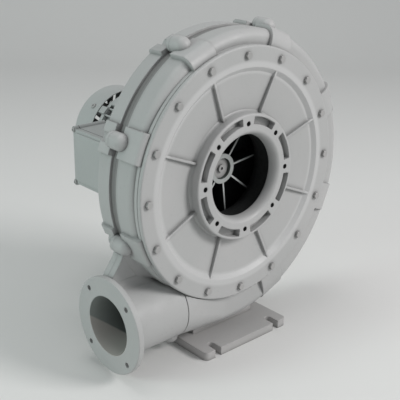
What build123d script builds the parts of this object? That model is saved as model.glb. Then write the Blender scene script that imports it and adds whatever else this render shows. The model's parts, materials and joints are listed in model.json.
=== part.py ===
"""High-pressure centrifugal fan: a cast scroll casing on a foot, driven directly by a flange motor.

Millimetres, +Z up. The shaft lies along Y and the inlet faces -Y. The outlet leaves towards -X, and its
axis lies in the plane Y = 0. The origin is on the underside of the foot, below the shaft.
"""

import math
import os

from build123d import *

os.makedirs("parts", exist_ok=True)

# Overall depth
half_depth = 53.5  # cover face and back wall, each from the duct's mid-plane

# Scroll casing
opening_radius = 192.0  # opening behind the front cover
scroll_growth = {180: 25.0, 135: 32.5, 90: 45.0, 45: 55.0, 0: 64.5, -45: 73.0, -90: 79.0}  # past the opening
casing_lift = 31.0  # bottom of the scroll above the floor
scroll_wall = 8.0
front_wall = 7.5
back_wall = 8.5
front_round = 16.0
back_round = 4.0
back_rib_overlap = 8.0  # end of the back ribs beyond the opening
back_rib_thickness = 8.0
root_step = 14.0  # neck behind the cover seat, beyond the opening
root_depth = 5.0
parting = 14.0  # joint between the two casing halves
groove_width = 16.0
groove_depth = 3.5
lip_width = 5.0  # shallow step in front of the groove
lip_depth = 1.5
seat_thickness = 7.0

# Pads and bosses of the casing joint
joint_screw_angles = [157.5, 112.5, 67.5, 22.5, -22.5, -67.5, 202.5]
low_boss_angle = 67.5  # boss under the duct, below the level through the shaft
pad_width = 50.0
pad_rise = 4.0
pad_shoulder = 22.0
boss_radius = 14.0
boss_offset = 5.0  # boss axis outside the scroll surface
boss_front = 15.0  # straight part in front of the joint
boss_back = 7.0
joint_screw_radius = 4.0
joint_screw_engagement = 16.0
joint_head_flats = 13.0
joint_head_height = 5.3
joint_head_room = 8.0

# Outlet
duct_radius = 50.0
pipe_radius = 57.5
duct_lift = 58.0  # duct axis above the bottom of the scroll
duct_start = 20.0  # where the scroll passes into its duct, from the shaft
round_slack = 0.1  # short flats that the duct keeps between its four quarter rounds
duct_joint = 120.0  # end of the scroll's duct, from the shaft
outlet_spigot = 5.0
outlet_spigot_radius = 53.7
seam_width = 1.5  # groove round the joint of the pipe
seam_depth = 1.0
outlet_reach = 242.0  # flange face, from the shaft
outlet_flange_radius = 82.0
outlet_flange_thickness = 10.0
outlet_pcd = 139.0
outlet_holes = 4
outlet_first_hole = 45
flange_round = 1.5
outlet_hole_radius = 4.5
web_thickness = 24.0
web_root_angle = 200
web_foot = 18.0  # web height above the pipe at the flange
web_tip_rise = 20.0  # outer corner by the lower left boss, beyond the chamber
web_tip_angle = 207.1
seat_gap = 0.3
fit_gap = 0.1  # all round a screw, spigot or register
press_gap = 0.05  # all round a seat on the shaft

# Front cover
cover_overlap = 23.0  # edge of the cover beyond the opening
rim_thickness = 7.0
rim_round = 3.0
gasket_thickness = 0.8
spigot_gap = 0.5
spigot_depth = 6.5
rim_overlap = 12.0  # rim of the cover inside the opening
field_slope = 7.0
field_drop = 6.0
field_cone = 7.0
cover_wall = 7.0
inlet_ring_radius = 107.0
inlet_ring_rise = 7.0  # ring face in front of the rim face
inlet_pcd = 182.0
inlet_holes = 8
inlet_hole_radius = 4.25
inlet_hole_depth = 14.0
throat_radius = 70.0
bell_radius = 80.0
bell_length = 17.0
nozzle_end = -42.0
eye_bore_radius = 78.5
pocket_inner = 89.0
pocket_outer = 102.0
pocket_angle = 30.0
pocket_corner = 2.0
pocket_depth = 12.0
rib_width = 4.0
rib_rise = 6.5
rib_end_drop = 0.5  # rib's outer end below the rim face
cover_screw_setback = 8.0  # cover screws beyond the opening
cover_screws_count = 16
cover_screw_radius = 4.0
cover_screw_length = 16.0
cover_hole_depth = 10.5
cover_head_flats = 13.0
cover_head_height = 5.3

# Foot
foot_width = 195.0
foot_front = -76.5
foot_back = 196.5
foot_thickness = 15.0
foot_corner = 8.0
foot_slot_spacing = 140.0
foot_slot_width = 13.0
foot_slot_length = 25.0
seat_width = 140.0
seat_front = -12.0
seat_back = 40.0
seat_height = 23.0  # underside of the casing's base pad above the floor
foot_rib_thickness = 10.0
foot_rib_spacing = 100.0
foot_counterbore_radius = 11.0
foot_counterbore_depth = 8.5
foot_screw_x = 50.0
foot_screw_front = 0.0
foot_screw_back = 28.0
foot_screw_radius = 5.0
foot_screw_engagement = 11.0
foot_head_flats = 17.0
foot_head_height = 6.4

# Motor flange and shields
motor_seat_radius = 105.0
motor_seat_rise = 5.0
motor_flange_radius = 100.0
motor_flange_thickness = 12.0
motor_spigot_radius = 65.0
motor_spigot_length = 3.5
motor_pcd = 165.0
motor_screw_radius = 5.0
motor_screw_engagement = 9.0
motor_head_flats = 17.0
motor_head_height = 6.4
shield_length = 27.5  # from the joint face to the motor frame
shield_neck_radius = 72.0
shield_rim_radius = 82.0
shield_rim_thickness = 8.0
shield_wall = 6.0
shield_floor = 3.5
shield_gap = 1.0  # round the turning shaft
bearing_wall = 8.0
front_bearing_inset = 3.5  # from the joint face
rear_bearing_inset = 7.0  # from the rear end of the frame
rear_wall_thickness = 5.5

# Motor frame
frame_length = 160.0
frame_inner = 68.0
frame_outer = 73.0
fin_radius = 81.0
fin_thickness = 2.6
fin_count = 36
box_span = 35  # degrees each side of the terminal box without fins
tie_angles = (60, 120, 240, 300)
lug_angles = (45, 135, 225, 315)
corner_rib_width = 14.0
corner_rib_radius = 84.0
tie_radius = 77.0
tie_bolt_radius = 3.0
tie_head_flats = 10.0
tie_head_height = 4.0
register_depth = 6.0

# Terminal box
box_size = 100.0
box_reach = 143.0
box_base = 88.0
box_middle = 106.0  # from the joint face of the motor flange
box_wall = 4.0
box_corner = 8.0
lid_thickness = 8.0
lid_rise = 2.0
lid_border = 6.0
box_gasket = 1.2
lid_screw_radius = 2.5
lid_screw_engagement = 12.0
lid_screw_inset = 2.0
wire_hole_radius = 14.0
wire_offset = 26.0
box_screw_spread = 76.0
box_screw_radius = 2.5
box_screw_engagement = 8.0
box_head_flats = 8.0
box_head_height = 3.5
lid_boss_radius = 6.0
lid_head_radius = 4.2
lid_head_height = 3.0
plug_radius = 10.0
plug_flats = 24.0
plug_head_height = 6.0
plug_reach = 6.0
plug_spacing = 40.0
board_length = 60.0
board_width = 34.0
board_thickness = 8.0
board_offset = -14.0
stud_pitch = 18.0
stud_row = 16.0
stud_columns = 3
stud_rows = 2
stud_flats = 8.0
stud_height = 7.0

# Electrical parts
stator_inner = 42.5
air_gap = 0.5
core_length = 110.0
core_front = 24.0  # from the frame's front end
slot_count = 24
slot_start = 7.5
slot_depth = 15.0
slot_width = 5.0
winding_inner = 46.0
winding_outer = 60.0
winding_length = 16.0
cage_ring_inner = 28.0
cage_ring_length = 8.0
bar_count = 16
bar_radius = 36.0
bar_depth = 9.0
bar_width = 3.0
rotor_seat_radius = 16.0

# Bearings 25 x 52 x 15
bearing_bore = 12.5
bearing_outer = 26.0
bearing_width = 15.0
bearing_gap = 0.05  # round the outer ring
ring_outer_inside = 22.0
ring_inner_outside = 16.7
shield_lip = 16.9
shield_sheet = 1.0
wave_spring_width = 2.5

# Shaft
shaft_radius = 12.0
shaft_extension = 50.0
shoulder_radius = 15.0
fan_seat_radius = 9.0
key_width = 8.0
key_height = 7.0
key_length = 24.0
key_front = 12.0
key_sink = 4.0  # depth of the key seat in the shaft
clip_width = 1.3
clip_groove = 0.7
clip_height = 3.0
clip_mouth = 8.0
shaft_tail = 2.7

# Impeller
wheel_clearance = 7.0  # the wheel passes through the opening
wheel_back = 36.5
wheel_thickness = 4.0
hub_radius = 26.0
hub_recess_radius = 18.5
hub_front = -2.5
hub_recess_depth = 10.0
hub_flange_radius = 45.0
hub_flange_thickness = 4.5
blade_count = 8
blade_angle = 7.0
blade_thickness = 3.0
blade_straight = 80.0
blade_sweep = 35.0
eye_radius = 72.0
eye_front = -40.5
eye_length = 20.5
shroud_thickness = 3.0
shroud_lean = 0.12  # slope at the rim
tip_width = 22.0
blade_nose = -1.5
washer_radius = 17.5
washer_thickness = 4.0
wheel_screw_radius = 4.0
wheel_screw_length = 20.0
wheel_head_radius = 6.5
wheel_head_height = 4.5
socket_flats = 5.0
socket_depth = 2.8

# Shaft seal
seal_radius = 22.0
seal_gap = 0.4
seal_thickness = 6.0
seal_front = 48.5
back_hole_radius = 18.0

# Cooling fan and cowl
cowl_radius = 86.0
cowl_sheet = 1.6
cowl_length = 53.0
cowl_start = 18.5  # from the frame's rear end
cowl_round = 8.0
lug_width = 14.0
lug_thickness = 9.0
cowl_screw_setback = 18.5
cowl_screw_radius = 2.5
cowl_head_radius = 5.0
cowl_head_height = 2.5
cooling_radius = 70.0
cooling_hub_radius = 16.0
cooling_hub_length = 30.0
cooling_gap = 4.0
cooling_blades = 9
cooling_width = 26.0
cooling_blade_thickness = 2.5
cooling_web = 3.0
grille_slots = 18
grille_inner = 22.0
grille_outer = 70.0
grille_slot_width = 6.0

# Radii that follow the opening
scroll_radii = {angle: opening_radius + growth for angle, growth in scroll_growth.items()}
floor_line = -scroll_radii[-90]  # bottom of the scroll, from the shaft
shaft_height = casing_lift - floor_line
duct_drop = -floor_line - duct_lift  # duct axis below the shaft
duct_height = shaft_height - duct_drop
passage_floor = shaft_height + floor_line + scroll_wall
root_radius = opening_radius + root_step
back_rib_end = opening_radius + back_rib_overlap
cover_radius = opening_radius + cover_overlap
cover_screw_pcd = 2 * (opening_radius + cover_screw_setback)
rim_inner_radius = opening_radius - rim_overlap
field_radius = rim_inner_radius - field_slope
wheel_radius = opening_radius - wheel_clearance

# Stations along the shaft
cover_face = -half_depth
rim_back = cover_face + rim_thickness
casing_seat = rim_back + gasket_thickness
scroll_front = casing_seat + seat_thickness
scroll_depth = half_depth - scroll_front
cavity_front = scroll_front + front_wall
cavity_back = half_depth - back_wall
flange_joint = half_depth + motor_seat_rise
flange_back = flange_joint + motor_flange_thickness
frame_front = flange_joint + shield_length
frame_back = frame_front + frame_length
shaft_front = flange_joint - shaft_extension
front_bearing = flange_joint + front_bearing_inset
rear_bearing = frame_back - rear_bearing_inset
core_start = frame_front + core_front
core_end = core_start + core_length
cowl_front = frame_back + cowl_start
cowl_back = cowl_front + cowl_length
cowl_screw_line = cowl_front + cowl_screw_setback
slot_bottom = stator_inner + slot_depth
inlet_face = cover_face - inlet_ring_rise
field_front = cover_face + field_drop
rear_wall = rear_bearing + bearing_width + wave_spring_width
cooling_front = rear_wall + rear_wall_thickness + cooling_gap
clip_front = cooling_front + cooling_hub_length
shaft_end = clip_front + clip_width + shaft_tail
washer_front = hub_front + hub_recess_depth - washer_thickness
key_floor = shaft_radius - key_sink
lid_face = box_reach + box_gasket + lid_thickness
box_bottom = shaft_height - box_size / 2
lug_radius = cowl_radius - cowl_sheet - fit_gap

shaft_axis = Axis((0, 0, shaft_height), (0, 1, 0))
meridian = Plane.XY.offset(shaft_height)


def across(y):
    """Plane square to the shaft at this station, seen from the inlet, with its normal to the front."""
    return Plane(origin=(0, y, shaft_height), x_dir=(1, 0, 0), z_dir=(0, -1, 0))


def radial(angle):
    """Half plane through the shaft at this angle: x is the radius and y runs along the shaft."""
    turn = math.radians(angle)
    outward = (math.cos(turn), 0, math.sin(turn))
    return Plane(origin=(0, 0, shaft_height), x_dir=outward, z_dir=(-outward[2], 0, outward[0]))


def side(x):
    """Plane square to the duct: x runs along the shaft and y is the height."""
    return Plane(origin=(x, 0, 0), x_dir=(0, 1, 0), z_dir=(1, 0, 0))


def band(inner, outer, front, back, mode=Mode.ADD):
    """Rectangle of a turned profile, by its radii and its stations along the shaft."""
    with Locations(((inner + outer) / 2, (front + back) / 2)):
        Rectangle(outer - inner, back - front, mode=mode)


def polar(radius, angle):
    return (radius * math.cos(math.radians(angle)), radius * math.sin(math.radians(angle)))


def ring_places(pitch, count):
    """Places on a bolt circle, the first of them above the shaft."""
    return [polar(pitch / 2, 90 + 360 / count * i) for i in range(count)]


def scroll_radius(angle):
    """Outer radius of the scroll between the stated radii, by the straight rule of a spiral."""
    if angle >= 180:
        return scroll_radii[180]
    low = max(a for a in scroll_radii if a <= angle)
    high = min(a for a in scroll_radii if a > angle)
    share = (angle - low) / (high - low)
    return scroll_radii[low] * (1 - share) + scroll_radii[high] * share


def scroll_face(inset, mode=Mode.ADD):
    """Outline of the scroll: round below the tongue, then growing over the top and level at the bottom."""
    chamber = scroll_radii[180] - inset
    level = inset - scroll_radii[-90]
    start = (-duct_start, -math.sqrt(chamber**2 - duct_start**2))
    with BuildLine() as outline:
        rim = ThreePointArc(start, polar(chamber, 225), polar(chamber, 180))
        for angle in list(scroll_radii)[1:-1]:
            rim = TangentArc(rim @ 1, polar(scroll_radii[angle] - inset, angle), tangent=rim % 1)
        turn = (rim % 1).get_angle(Vector(-1, 0))
        rim = JernArc(rim @ 1, rim % 1, ((rim @ 1).Y - level) / (1 - math.cos(math.radians(turn))), -turn)
        Polyline(rim @ 1, (-duct_start, level), start)
    make_face(outline.edges(), mode=mode)


def scroll_rim(face):
    """Edges of a flat side of the scroll, but for the one where the duct leaves."""
    return [
        edge for edge in face.edges()
        if edge.geom_type == GeomType.CIRCLE or abs((edge % 0.5).Z) < 1 - 1e-6
    ]


def tangent(radius, angle):
    """Plane on a cylinder about the shaft, level with the screws of the cowl, normal outward."""
    x, z = polar(radius, angle)
    return Plane(origin=(x, cowl_screw_line, shaft_height + z), x_dir=(0, 1, 0), z_dir=(x, 0, z))


def shroud_curve(lift, inset=0):
    """Meridian curve of the shroud from the eye to the rim, this far in front of the blades."""
    start = (eye_radius + inset, eye_front + eye_length - lift)
    end = (wheel_radius, wheel_back - wheel_thickness - tip_width - lift)
    Spline(start, end, tangents=[(0, 1), (1, shroud_lean)])


def box_outline():
    """Outline of the terminal box with its four screw ears."""
    with Locations(box_place):
        RectangleRounded(box_size, box_size, box_corner)
    with Locations(*lid_places):
        Circle(lid_boss_radius)


def box_inside(mode=Mode.ADD):
    """Hollow of the terminal box between the pillars of its lid screws."""
    with BuildSketch() as hollow:
        with Locations(box_place):
            RectangleRounded(box_size - 2 * box_wall, box_size - 2 * box_wall, box_corner - box_wall)
        with Locations(*lid_places):
            Circle(lid_boss_radius, mode=Mode.SUBTRACT)
    add(hollow.sketch, mode=mode)


def bore(plane, places, radius, depth):
    """Round holes from this plane, along its normal where the depth is positive."""
    with BuildSketch(plane) as rounds:
        with Locations(*places):
            Circle(radius)
    extrude(rounds.sketch, amount=depth, mode=Mode.SUBTRACT)


def hex_screws(plane, places, flats, height, radius, length):
    """Hexagon-head screws: heads stand along the plane's normal and shanks run against it."""
    with BuildSketch(plane) as heads:
        with Locations(*places):
            RegularPolygon(flats / 2, 6, major_radius=False)
    extrude(heads.sketch, amount=height)
    with BuildSketch(plane) as shanks:
        with Locations(*places):
            Circle(radius)
    extrude(shanks.sketch, amount=-length)


def round_duct(section, high, low_back, low_front):
    """Rounds the corners of a duct section, each with its own radius."""
    fillet(section.vertices().group_by(Axis.Y)[-1], high)
    fillet(section.vertices().group_by(Axis.Y)[0].sort_by(Axis.X)[-1], low_back)
    fillet(section.vertices().group_by(Axis.Y)[0].sort_by(Axis.X)[0], low_front)


def save(piece, name):
    piece.part.label = name
    export_step(piece.part, f"parts/{name}.step")


# Places of the screws
cover_places = ring_places(cover_screw_pcd, cover_screws_count)
inlet_places = ring_places(inlet_pcd, inlet_holes)
pocket_angles = [90 + 360 / inlet_holes * (i + 0.5) for i in range(inlet_holes)]
foot_places = [(x, y) for y in (foot_screw_front, foot_screw_back) for x in (-foot_screw_x, foot_screw_x)]
motor_places = [polar(motor_pcd / 2, angle) for angle in lug_angles]
tie_places = [polar(tie_radius, angle) for angle in tie_angles]
fin_angles = [
    a for a in range(0, 360, 360 // fin_count)
    if a not in tie_angles and abs(a - 180) > box_span
]
box_place = (flange_joint + box_middle, shaft_height)
wire_place = (box_place[0], box_place[1] + wire_offset)
lid_offset = box_size / 2 - lid_screw_inset
lid_places = [
    (box_place[0] + i * lid_offset, box_place[1] + j * lid_offset)
    for i in (-1, 1) for j in (-1, 1)
]
box_screw_places = [
    (box_place[0] + i * box_screw_spread / 2, box_place[1] + j * box_screw_spread / 2)
    for i in (-1, 1) for j in (-1, 1)
]
plug_places = [(-(box_base + box_reach) / 2, box_place[0] + i * plug_spacing / 2) for i in (-1, 1)]
low_boss_height = floor_line - boss_offset
joint_bosses = [polar(scroll_radius(a) + boss_offset, a) for a in joint_screw_angles]
joint_bosses.append((low_boss_height / math.tan(math.radians(low_boss_angle)), low_boss_height))

# Screw boss with a round nose, its axis along Z and the joint of the casing at Z = 0
with BuildPart() as boss:
    with BuildSketch(Plane.XZ):
        with BuildLine():
            CenterArc((0, boss_front), boss_radius, 0, 90)
            Polyline(
                (0, boss_front + boss_radius),
                (0, -boss_back),
                (boss_radius, -boss_back),
                (boss_radius, boss_front),
            )
        make_face()
    revolve(axis=Axis.Z)

# Bosses and web of the casing, clear of the outlet pipe
with BuildPart() as bosses:
    with Locations([across(parting).location * Location((x, z, 0)) for x, z in joint_bosses]):
        add(boss.part)
    with BuildSketch(across(parting + web_thickness / 2)):
        with BuildLine():
            web_low = -duct_drop + pipe_radius - 2 * web_foot
            Polyline(
                polar(scroll_radii[180] + web_tip_rise, web_tip_angle),
                (-outlet_reach + outlet_flange_thickness + seat_gap, -duct_drop + pipe_radius + web_foot),
                (-outlet_reach + outlet_flange_thickness + seat_gap, web_low),
                (-duct_joint, web_low),
                polar(opening_radius + front_round, web_root_angle),
                close=True,
            )
        make_face()
    extrude(amount=web_thickness)
    with BuildSketch(side(-duct_joint)):
        with Locations((0, duct_height)):
            Circle(pipe_radius + seat_gap)
    extrude(amount=-outlet_reach, mode=Mode.SUBTRACT)

# Casing as one body, before it is split at the joint
with BuildPart() as casing:
    with BuildSketch(across(half_depth)):
        scroll_face(0)
    extrude(amount=scroll_depth)
    fillet(scroll_rim(casing.faces().sort_by(Axis.Y)[0]), front_round)
    fillet(scroll_rim(casing.faces().sort_by(Axis.Y)[-1]), back_round)
    for angle in joint_screw_angles:
        top = scroll_radius(angle) + pad_rise
        rise = min(top - cover_radius - 1, pad_shoulder)
        with BuildSketch(radial(angle)):
            with BuildLine():
                EllipticalCenterArc(
                    (cover_radius + 1, casing_seat + rise), top - cover_radius - 1, rise, 270, arc_size=90
                )
                Polyline(
                    (top, casing_seat + rise),
                    (top, half_depth - back_round),
                    (top - back_round, half_depth),
                    (opening_radius, half_depth),
                    (opening_radius, casing_seat),
                    (cover_radius + 1, casing_seat),
                )
            make_face()
        extrude(amount=pad_width / 2, both=True)
    for back, width, depth in (
        (parting + groove_width / 2, groove_width, groove_depth),
        (parting - groove_width / 2, lip_width, lip_depth),
    ):
        with BuildSketch(across(back)):
            Circle(scroll_radii[-90] + 2 * boss_radius)
            scroll_face(depth, mode=Mode.SUBTRACT)
        extrude(amount=width, mode=Mode.SUBTRACT)
    with BuildSketch(meridian):
        band(opening_radius, cover_radius, casing_seat, scroll_front)
        band(opening_radius, root_radius, scroll_front, scroll_front + root_depth)
    revolve(axis=shaft_axis)
    with BuildSketch(side(-duct_start)) as mouth:
        with Locations(((scroll_front + half_depth) / 2, shaft_height + floor_line + pipe_radius)):
            Rectangle(half_depth - scroll_front, 2 * pipe_radius)
        round_duct(mouth, front_round, back_round, front_round)
    with BuildSketch(side(-duct_joint)):
        with Locations((0, duct_height)):
            RectangleRounded(2 * pipe_radius, 2 * pipe_radius, pipe_radius - round_slack)
    loft()
    with BuildSketch(side(0)):
        with Locations(((seat_front + seat_back) / 2, (seat_height + shaft_height - opening_radius) / 2)):
            Rectangle(seat_back - seat_front, shaft_height - opening_radius - seat_height)
    extrude(amount=seat_width / 2, both=True)
    add(bosses.part)
    with BuildSketch(across(casing_seat)):
        Circle(cover_radius + 1)
    extrude(amount=2 * pipe_radius, mode=Mode.SUBTRACT)

# Inside of the casing
with BuildPart() as passage:
    with BuildSketch(across(cavity_back)):
        scroll_face(scroll_wall)
    extrude(amount=cavity_back - cavity_front)
    fillet(scroll_rim(passage.faces().sort_by(Axis.Y)[0]), front_round - front_wall)
    fillet(scroll_rim(passage.faces().sort_by(Axis.Y)[-1]), back_round)
    with BuildSketch(across(cavity_front + scroll_wall)):
        Circle(opening_radius)
    extrude(amount=2 * scroll_wall + seat_thickness)
    with BuildSketch(side(-duct_start)) as throat:
        with Locations(((cavity_front + cavity_back) / 2, passage_floor + duct_radius)):
            Rectangle(cavity_back - cavity_front, 2 * duct_radius)
        round_duct(throat, front_round - front_wall, back_round, front_round - front_wall)
    with BuildSketch(side(-duct_joint)):
        with Locations((0, duct_height)):
            RectangleRounded(2 * duct_radius, 2 * duct_radius, duct_radius - round_slack)
    loft()
    with BuildSketch(side(-duct_joint + outlet_spigot)):
        with Locations((0, duct_height)):
            Circle(outlet_spigot_radius + fit_gap)
    extrude(amount=-outlet_spigot)
    with BuildSketch(side(-duct_joint)):
        with Locations((0, duct_height)):
            Circle(duct_radius)
    extrude(amount=-duct_radius)

joint_plane = Plane(origin=(0, parting, 0), z_dir=(0, -1, 0))

# Front half of the casing
with BuildPart() as volute_casing:
    add(casing.part)
    add(passage.part, mode=Mode.SUBTRACT)
    split(bisect_by=joint_plane, keep=Keep.TOP)
    bore(across(parting), joint_bosses, joint_screw_radius + fit_gap, joint_screw_engagement + 2)
    bore(across(casing_seat), cover_places, cover_screw_radius + fit_gap, -cover_hole_depth)
    bore(
        Plane.XY.offset(seat_height), foot_places[:2],
        foot_screw_radius + fit_gap, foot_screw_engagement + 1,
    )
save(volute_casing, "volute_casing")

# Rear half of the casing, with the motor seat
with BuildPart() as rear_casing:
    add(casing.part)
    add(passage.part, mode=Mode.SUBTRACT)
    split(bisect_by=joint_plane, keep=Keep.BOTTOM)
    with BuildSketch(across(flange_joint)):
        Circle(motor_seat_radius)
    extrude(amount=motor_seat_rise)
    for angle in lug_angles + (0, 90, 180, 270):
        with BuildSketch(radial(angle)):
            with BuildLine():
                Polyline(
                    (motor_seat_radius - 1, half_depth - 1),
                    (motor_seat_radius - 1, flange_joint),
                    (back_rib_end, half_depth),
                    (back_rib_end, half_depth - 1),
                    close=True,
                )
            make_face()
        extrude(amount=back_rib_thickness / 2, both=True)
    bore(across(parting), joint_bosses, joint_screw_radius + fit_gap, -boss_back)
    bore(across(parting + boss_back), joint_bosses, joint_head_room, -half_depth)
    bore(
        Plane.XY.offset(seat_height), foot_places[2:],
        foot_screw_radius + fit_gap, foot_screw_engagement + 1,
    )
    bore(across(flange_joint), motor_places, motor_screw_radius + fit_gap, motor_screw_engagement + 1)
    bore(across(flange_joint), [(0, 0)], motor_spigot_radius + fit_gap, motor_spigot_length + seat_gap)
    bore(across(flange_joint), [(0, 0)], seal_radius + fit_gap, flange_joint - seal_front)
    bore(across(seal_front), [(0, 0)], back_hole_radius, back_wall)
save(rear_casing, "rear_casing")

with BuildPart() as casing_screws:
    hex_screws(
        across(parting + boss_back), joint_bosses, joint_head_flats, -joint_head_height,
        joint_screw_radius, -(boss_back + joint_screw_engagement),
    )
save(casing_screws, "casing_screws")

# Pocket between two holes of the inlet ring
with BuildSketch() as pocket:
    with BuildLine():
        outer_side = CenterArc((0, 0), pocket_outer, -pocket_angle / 2, pocket_angle)
        inner_side = CenterArc((0, 0), pocket_inner, -pocket_angle / 2, pocket_angle)
        Line(outer_side @ 0, inner_side @ 0)
        Line(outer_side @ 1, inner_side @ 1)
    make_face()
    fillet(pocket.vertices(), pocket_corner)

# Front cover with the inlet ring and its bell
with BuildPart() as front_cover:
    with BuildSketch(meridian) as section:
        with BuildLine():
            Polyline(
                (throat_radius, inlet_face + bell_length),
                (throat_radius, nozzle_end),
                (eye_bore_radius, nozzle_end),
                (eye_bore_radius, field_front + field_cone + cover_wall),
                (rim_inner_radius - spigot_gap, rim_back + spigot_depth),
                (opening_radius - spigot_gap, rim_back + spigot_depth),
                (opening_radius - spigot_gap, rim_back),
                (cover_radius, rim_back),
                (cover_radius, cover_face),
                (rim_inner_radius, cover_face),
                (field_radius, field_front),
                (inlet_ring_radius, field_front + field_cone),
                (inlet_ring_radius, inlet_face),
                (bell_radius, inlet_face),
            )
            EllipticalCenterArc(
                (bell_radius, inlet_face + bell_length),
                bell_radius - throat_radius, bell_length, 180, arc_size=90,
            )
        make_face()
        fillet(section.vertices().sort_by_distance((cover_radius, cover_face))[0], rim_round)
        fillet(section.vertices().sort_by_distance((inlet_ring_radius, inlet_face))[0], rim_round)
    revolve(axis=shaft_axis)
    for angle in pocket_angles:
        with BuildSketch(radial(angle)):
            with BuildLine():
                Polyline(
                    (inlet_ring_radius - 1, field_front + field_cone + 1),
                    (inlet_ring_radius - 1, field_front + field_cone - rib_rise),
                    (rim_inner_radius, cover_face + rib_end_drop),
                    (rim_inner_radius, field_front + 1),
                    close=True,
                )
            make_face()
        extrude(amount=rib_width / 2, both=True)
    with BuildSketch(across(inlet_face)):
        with PolarLocations(0, inlet_holes, start_angle=pocket_angles[0]):
            add(pocket.sketch)
    extrude(amount=-pocket_depth, mode=Mode.SUBTRACT)
    bore(across(inlet_face), inlet_places, inlet_hole_radius, -inlet_hole_depth)
    bore(across(cover_face), cover_places, cover_screw_radius + fit_gap, -rim_thickness)
save(front_cover, "front_cover")

with BuildPart() as cover_screws:
    hex_screws(
        across(cover_face), cover_places, cover_head_flats, cover_head_height,
        cover_screw_radius, cover_screw_length,
    )
save(cover_screws, "cover_screws")

with BuildPart() as cover_gasket:
    with BuildSketch(meridian):
        band(opening_radius, cover_screw_pcd / 2 - cover_screw_radius - fit_gap, rim_back, casing_seat)
    revolve(axis=shaft_axis)
save(cover_gasket, "cover_gasket")

# Outlet pipe, coped to the round of the casing
with BuildPart() as outlet_pipe:
    with BuildSketch(side(-duct_joint + outlet_spigot)):
        with Locations((0, duct_height)):
            Circle(outlet_spigot_radius)
    extrude(amount=-2 * outlet_spigot)
    with BuildSketch(side(-duct_joint)):
        with Locations((0, duct_height)):
            Circle(pipe_radius - seam_depth)
    extrude(amount=-2 * seam_width)
    with BuildSketch(side(-duct_joint - seam_width)):
        with Locations((0, duct_height)):
            Circle(pipe_radius)
    extrude(amount=-(outlet_reach - duct_joint - seam_width))
    with BuildSketch(side(-outlet_reach)):
        with Locations((0, duct_height)):
            Circle(outlet_flange_radius)
    extrude(amount=outlet_flange_thickness)
    fillet(outlet_pipe.edges().filter_by(GeomType.CIRCLE).sort_by(SortBy.RADIUS)[-2:], flange_round)
    with BuildSketch(side(-outlet_reach)):
        with Locations((0, duct_height)):
            Circle(duct_radius)
            with PolarLocations(outlet_pcd / 2, outlet_holes, start_angle=outlet_first_hole):
                Circle(outlet_hole_radius)
    extrude(amount=outlet_reach, mode=Mode.SUBTRACT)
    with BuildSketch(meridian) as cope:
        band(0, scroll_radii[180] + seat_gap, scroll_front - seat_gap, 2 * half_depth)
        fillet(cope.vertices().group_by(Axis.Y)[0].sort_by(Axis.X)[-1], front_round)
        band(0, root_radius + seat_gap, scroll_front - seat_gap, scroll_front + root_depth)
        band(0, cover_radius + 1, -2 * half_depth, scroll_front)
    revolve(axis=shaft_axis, mode=Mode.SUBTRACT)
save(outlet_pipe, "outlet_pipe")

# Foot plate
with BuildPart() as foot:
    with BuildSketch(Plane.XY):
        with Locations((0, (foot_front + foot_back) / 2)):
            RectangleRounded(foot_width, foot_back - foot_front, foot_corner)
        for y in (foot_front, foot_back):
            with Locations((-foot_slot_spacing / 2, y), (foot_slot_spacing / 2, y)):
                SlotOverall(2 * foot_slot_length, foot_slot_width, rotation=90, mode=Mode.SUBTRACT)
    extrude(amount=foot_thickness)
    with BuildSketch(Plane.XY.offset(foot_thickness)):
        with Locations((0, (seat_front + seat_back) / 2)):
            Rectangle(seat_width, seat_back - seat_front)
        with GridLocations(foot_rib_spacing, 0, 2, 1):
            with Locations((0, (seat_back + foot_back - foot_slot_length) / 2)):
                Rectangle(foot_rib_thickness, foot_back - foot_slot_length - seat_back)
    extrude(amount=seat_height - foot_thickness)
    bore(Plane.XY, foot_places, foot_screw_radius + fit_gap, seat_height)
    bore(Plane.XY, foot_places, foot_counterbore_radius, foot_counterbore_depth)
save(foot, "foot")

with BuildPart() as foot_screws:
    hex_screws(
        Plane.XY.offset(foot_counterbore_depth), foot_places, foot_head_flats, -foot_head_height,
        foot_screw_radius, -(seat_height - foot_counterbore_depth + foot_screw_engagement),
    )
save(foot_screws, "foot_screws")

with BuildPart() as motor_flange_screws:
    hex_screws(
        across(flange_back), motor_places, motor_head_flats, -motor_head_height,
        motor_screw_radius, -(motor_flange_thickness + motor_screw_engagement),
    )
save(motor_flange_screws, "motor_flange_screws")

with BuildPart() as shaft_seal:
    with BuildSketch(meridian):
        band(shoulder_radius + seal_gap, seal_radius, seal_front, seal_front + seal_thickness)
    revolve(axis=shaft_axis)
save(shaft_seal, "shaft_seal")

# Motor frame with its cooling fins
with BuildPart() as motor_frame:
    with BuildSketch(across(frame_back)):
        Circle(frame_outer)
        for angle in fin_angles:
            with Locations(Location((*polar((frame_inner + fin_radius) / 2, angle), 0), angle)):
                Rectangle(fin_radius - frame_inner, fin_thickness)
        for angle in tie_angles:
            with Locations(Location((*polar((frame_inner + corner_rib_radius) / 2, angle), 0), angle)):
                Rectangle(corner_rib_radius - frame_inner, corner_rib_width)
    extrude(amount=frame_length)
    with BuildSketch(side(-box_base)):
        with Locations(box_place):
            Rectangle(box_size, box_size)
    extrude(amount=box_base - frame_inner / 2)
    bore(across(frame_back), [(0, 0)], frame_inner, frame_length)
    bore(across(frame_back), tie_places, tie_bolt_radius + fit_gap, frame_length)
    bore(side(-box_base), [wire_place], wire_hole_radius, box_base)
    bore(side(-box_base), box_screw_places, box_screw_radius + fit_gap, box_screw_engagement + 1)
save(motor_frame, "motor_frame")

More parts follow.
